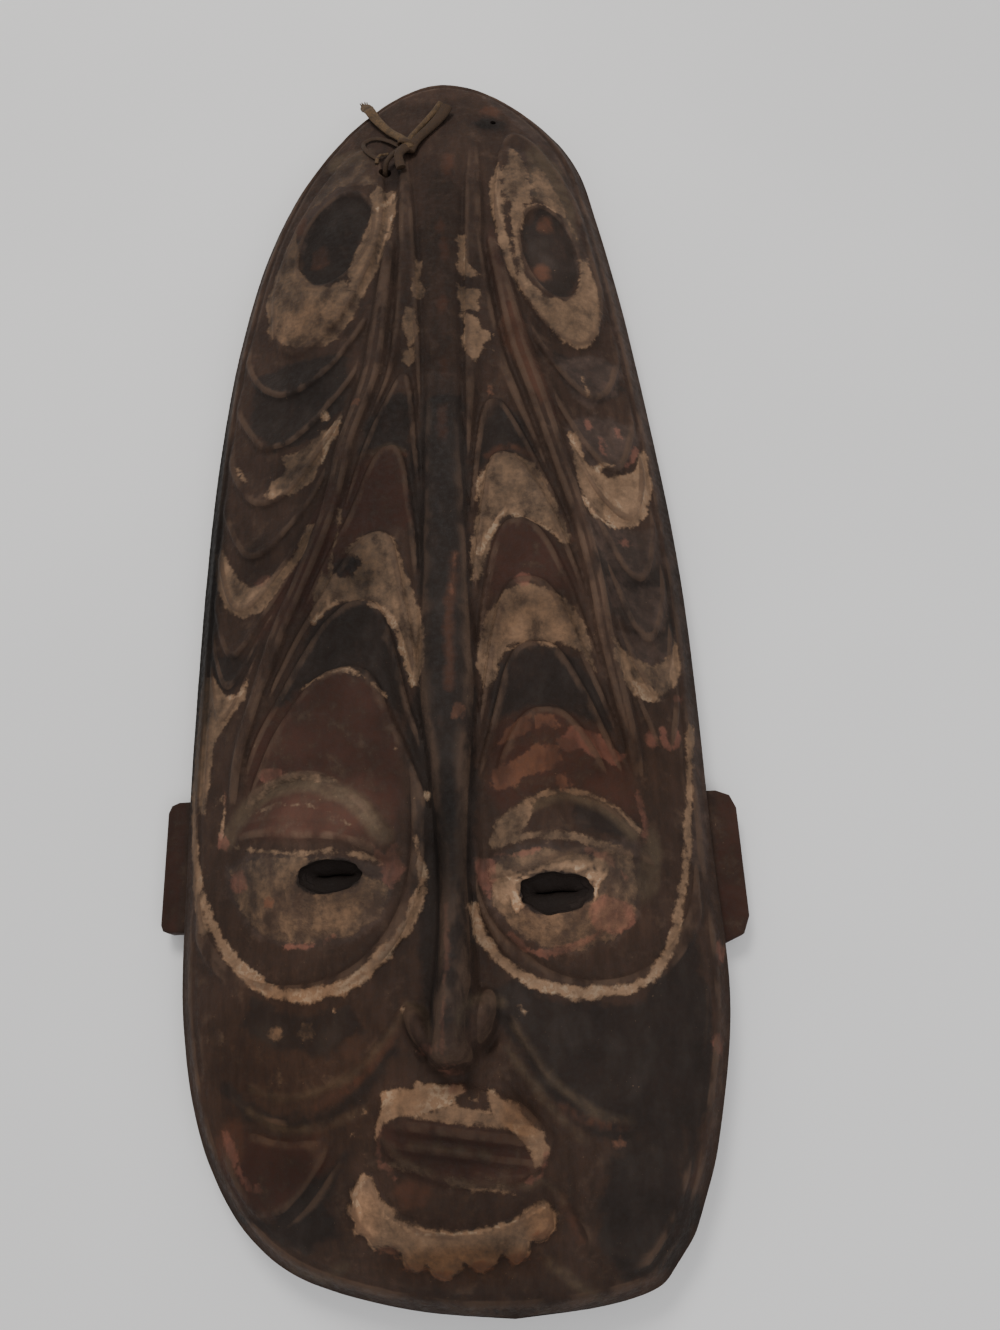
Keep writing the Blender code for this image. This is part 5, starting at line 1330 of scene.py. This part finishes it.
def sweptCane(name, path, ups, width, thick, taper=0.0, rings=12, paleAndLit=0.5):
    # a split cane: flat underneath, rounded on top, with both ends closed
    path = np.array(path, float)
    ups = np.array(ups, float)
    along = np.gradient(path, axis=0)
    along /= np.linalg.norm(along, axis=1)[:, None]
    across = np.cross(along, ups)
    across /= np.linalg.norm(across, axis=1)[:, None]
    upward = np.cross(across, along)
    angle = np.linspace(0, 2 * math.pi, rings, endpoint=False)
    widths = width * (1 + taper * np.linspace(1, 0, len(path)) ** 2) / 2
    widths = widths * (1 + 0.05 * np.sin(np.linspace(0, 9, len(path))))
    vertices = []
    for centre, side, up, half in zip(path, across, upward, widths):
        for turn in angle:
            lift = math.sin(turn) * thick * (0.62 if turn < math.pi else 0.38)
            vertices.append(centre + side * math.cos(turn) * half + up * lift)
    count = len(path)
    faces = []
    for ring in range(count - 1):
        for spot in range(rings):
            following = (spot + 1) % rings
            faces.append((ring * rings + spot, ring * rings + following,
                          (ring + 1) * rings + following, (ring + 1) * rings + spot))
    faces.append(tuple(range(rings - 1, -1, -1)))
    faces.append(tuple((count - 1) * rings + spot for spot in range(rings)))
    mesh = bpy.data.meshes.new(name)
    mesh.from_pydata([tuple(vertex * mm) for vertex in vertices], [], faces)
    # the pale value carries the cane's paleness and, on shaded strands, painted shade
    pale = mesh.attributes.new("paleAndLit", "FLOAT", "POINT")
    pale.data.foreach_set("value", np.full(len(vertices), paleAndLit, np.float32))
    cane = bpy.data.objects.new(name, mesh)
    bpy.context.scene.collection.objects.link(cane)
    choose(cane)
    editAll()
    bpy.ops.mesh.normals_make_consistent(inside=False)
    objectMode()
    return cane


def restingHeight(x, y, reach):
    spread = np.linspace(-1, 1, 5) * reach
    nearX, nearY = np.meshgrid(x + spread, y + spread)
    return float(frontHeight(nearX.ravel(), nearY.ravel()).max())


def strandPath(places, thick, count=44):
    # the strand lies on the wood, a little off it where its places say so
    x, y, lift = smoothLine(places, count).T
    levels = np.array([restingHeight(px, py, 2.5) for px, py in zip(x, y)])
    smooth = np.convolve(np.pad(levels, 4, mode="edge"), np.ones(9) / 9, mode="valid")
    return np.stack([x, y - middleY, np.maximum(smooth, levels) + lift + thick * 0.42], 1)


def makeTie():
    strands = []
    upward = np.array([0.0, 0.0, 1.0])
    for name, strand in tieForm["strands"].items():
        path = strandPath(strand["places"], strand["thick"])
        ups = np.tile(upward, (len(path), 1))
        strands.append(sweptCane(name, path, ups, strand["width"], strand["thick"], strand["taper"],
                                 paleAndLit=strand["paleAndLit"]))
    # the turns that hold the strands together
    wrap = tieForm["wrap"]
    centreX, centreY, lift = wrap["centre"]
    centre = np.array([centreX, centreY - middleY, restingHeight(centreX, centreY, 6) + lift])
    axis = np.array([math.cos(math.radians(wrap["turn"])), math.sin(math.radians(wrap["turn"])), 0.0])
    beside = np.array([-axis[1], axis[0], 0.0])
    turn = np.linspace(-0.3, wrap["turns"], 60) * 2 * math.pi
    lead = np.linspace(-0.5, 0.5, 60) * wrap["lead"] * wrap["turns"]
    outward = np.outer(np.cos(turn), beside) + np.outer(np.sin(turn), upward)
    radiusAcross, radiusUp = wrap["radius"]
    ring = np.outer(np.cos(turn) * radiusAcross, beside) + np.outer(np.sin(turn) * radiusUp, upward)
    ring = centre + (ring + np.outer(lead, axis))
    strands.append(sweptCane("wrap", ring, outward, wrap["width"], wrap["thick"], paleAndLit=wrap["paleAndLit"]))
    # the leg goes down through its hole and ends in the hollow
    leg = tieForm["leg"]
    holeX, holeY, _ = tieHole
    top = restingHeight(holeX, holeY, 4)
    roof = float(backHeight(np.array([float(holeX)]), np.array([float(holeY)]))[0])
    legPlaces = [(holeX + asideX, holeY + asideY, top + lift) for asideX, asideY, lift in leg["places"]]
    legPath = smoothLine(legPlaces + [(holeX, holeY, roof - leg["end"])], 36)
    legPath[:, 1] -= middleY
    # lying first with its flat side down, it turns over the edge of the hole
    turned = rise(0.45, 0.72, np.linspace(0, 1, len(legPath)))[:, None]
    legUps = upward * (1 - turned) + np.array([0.05, -1.0, 0.1]) * turned
    strands.append(sweptCane("leg", legPath, legUps, leg["width"], leg["thick"], paleAndLit=leg["paleAndLit"]))
    # splinters at the frayed end
    random = np.random.default_rng(8)
    splinters, leftEnd = tieForm["splinters"], tieForm["strands"]["leftEnd"]
    start = strandPath(leftEnd["places"], leftEnd["thick"])[0]
    for number in range(splinters["count"]):
        spread = random.uniform(-4.5, 4.5)
        reach = random.uniform(4, 9)
        path = [start + np.array([spread * 0.5, -6.0 - spread * 0.3, 0.0]),
                start + np.array([spread * 0.8, -1.0, 0.5]),
                start + np.array([spread * 1.1 - 1.5, reach * 0.55, random.uniform(0, 2)])]
        strands.append(sweptCane("splinter", path, [upward] * 3, splinters["width"], splinters["thick"],
                                 rings=6, paleAndLit=splinters["paleAndLit"]))
    deselectAll()
    for strand in strands:
        strand.select_set(True)
    bpy.context.view_layer.objects.active = strands[0]
    bpy.ops.object.join()
    tie = bpy.context.object
    tie.name = "caneTie"
    soften = tie.modifiers.new("soften", "SUBSURF")
    soften.levels = 1
    soften.render_levels = 1
    applyModifier(tie, soften)
    return tie


def splitCane():
    made = Nodes("splitCane")
    fibres = made.noise(made.coordinates((1.0, 0.35, 1.0)), 1400, 3, 0.6)
    blotch = made.noise(made.coordinates(), 160, 4, 0.6)
    darker = made.mix(made.ramp(fibres, 0.35, 0.65), (0.036, 0.0208, 0.0130), (0.058, 0.0350, 0.0210))
    lighter = made.mix(made.ramp(fibres, 0.35, 0.65), (0.080, 0.0500, 0.0255), (0.160, 0.100, 0.050))
    # pale strands are lighter, and strands in shadow are made darker as painted shade
    colour = made.mix(made.read("paleAndLit"), darker, lighter)
    colour = made.mix(made.ramp(blotch, 0.42, 0.66, 0.0, 0.60), colour, (0.038, 0.0250, 0.0155))
    made.give(colour, made.shader.inputs["Base Color"])
    made.give(made.ramp(fibres, 0.3, 0.7, 0.6, 0.88), made.shader.inputs["Roughness"])
    made.shader.inputs["Specular IOR Level"].default_value = 0.22
    made.bump(made.plus(fibres, made.times(blotch, 0.6)), 0.0006, 0.7)
    return made.material


caneTie = makeTie()
dress(caneTie, splitCane(), 50)
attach(caneTie, "root")
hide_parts("hanging_tie")
print("the tie is made")

# The floor, the light and the camera
studio = dict(floorColour=(0.93, 0.935, 0.945), skyColour=(1.0, 0.985, 0.965), skyStrength=0.51,
              keyPlace=(-0.30, 1.05, 1.85), keyPower=19.0, keySize=0.8,
              fillPlace=(0.45, -0.8, 1.4), fillPower=7.0, fillSize=1.2)


def makeFloor():
    deselectAll()
    bpy.ops.mesh.primitive_plane_add(size=8, location=(0, 0, 0))
    floor = bpy.context.object
    floor.name = "floor"
    made = Nodes("paleFloor")
    mottle = made.noise(made.coordinates(), 3.0, 2, 0.5)
    tone = studio["floorColour"]
    darker = tuple(channel * 0.97 for channel in tone)
    made.give(made.mix(made.ramp(mottle, 0.35, 0.65), darker, tone), made.shader.inputs["Base Color"])
    made.shader.inputs["Roughness"].default_value = 0.85
    floor.data.materials.append(made.material)


def addLight(name, place, power, size, colour):
    lamp = bpy.data.lights.new(name, "AREA")
    lamp.shape = "DISK"
    lamp.size = size
    lamp.energy = power
    lamp.color = colour
    holder = bpy.data.objects.new(name, lamp)
    aim = Vector((0.0, 0.0, 0.05)) - Vector(place)
    holder.location = place
    holder.rotation_euler = aim.to_track_quat("-Z", "Y").to_euler()
    bpy.context.scene.collection.objects.link(holder)


def addCamera():
    # where the photographer stood, in the mask's own frame
    place = Vector((0.0741977, -0.3156909, 0.6889422))
    right = (0.99679159, -0.04168091, -0.06833172)
    up = (0.06280698, 0.93652054, 0.34494138)
    back = (0.04961658, -0.34812637, 0.93613366)
    sensorHeight, photoHeight, focalPixels = 36.0, 1330.0, 1050.0
    lens = bpy.data.cameras.new("camera")
    lens.sensor_fit = "VERTICAL"
    lens.sensor_height = sensorHeight
    lens.lens = sensorHeight * focalPixels / photoHeight
    lens.clip_start = 0.05
    holder = bpy.data.objects.new("camera", lens)
    bpy.context.scene.collection.objects.link(holder)
    holder.matrix_world = Matrix.Translation(place) @ Matrix((right, up, back)).transposed().to_4x4()
    bpy.context.scene.camera = holder


makeFloor()
addLight("key", studio["keyPlace"], studio["keyPower"], studio["keySize"], (1.0, 0.97, 0.93))
addLight("fill", studio["fillPlace"], studio["fillPower"], studio["fillSize"], (0.98, 0.98, 1.0))
addCamera()
world = bpy.context.scene.world or bpy.data.worlds.new("world")
bpy.context.scene.world = world
world.use_nodes = True
background = world.node_tree.nodes["Background"]
background.inputs["Color"].default_value = (*studio["skyColour"], 1.0)
background.inputs["Strength"].default_value = studio["skyStrength"]
print("floor, lights and camera are set")
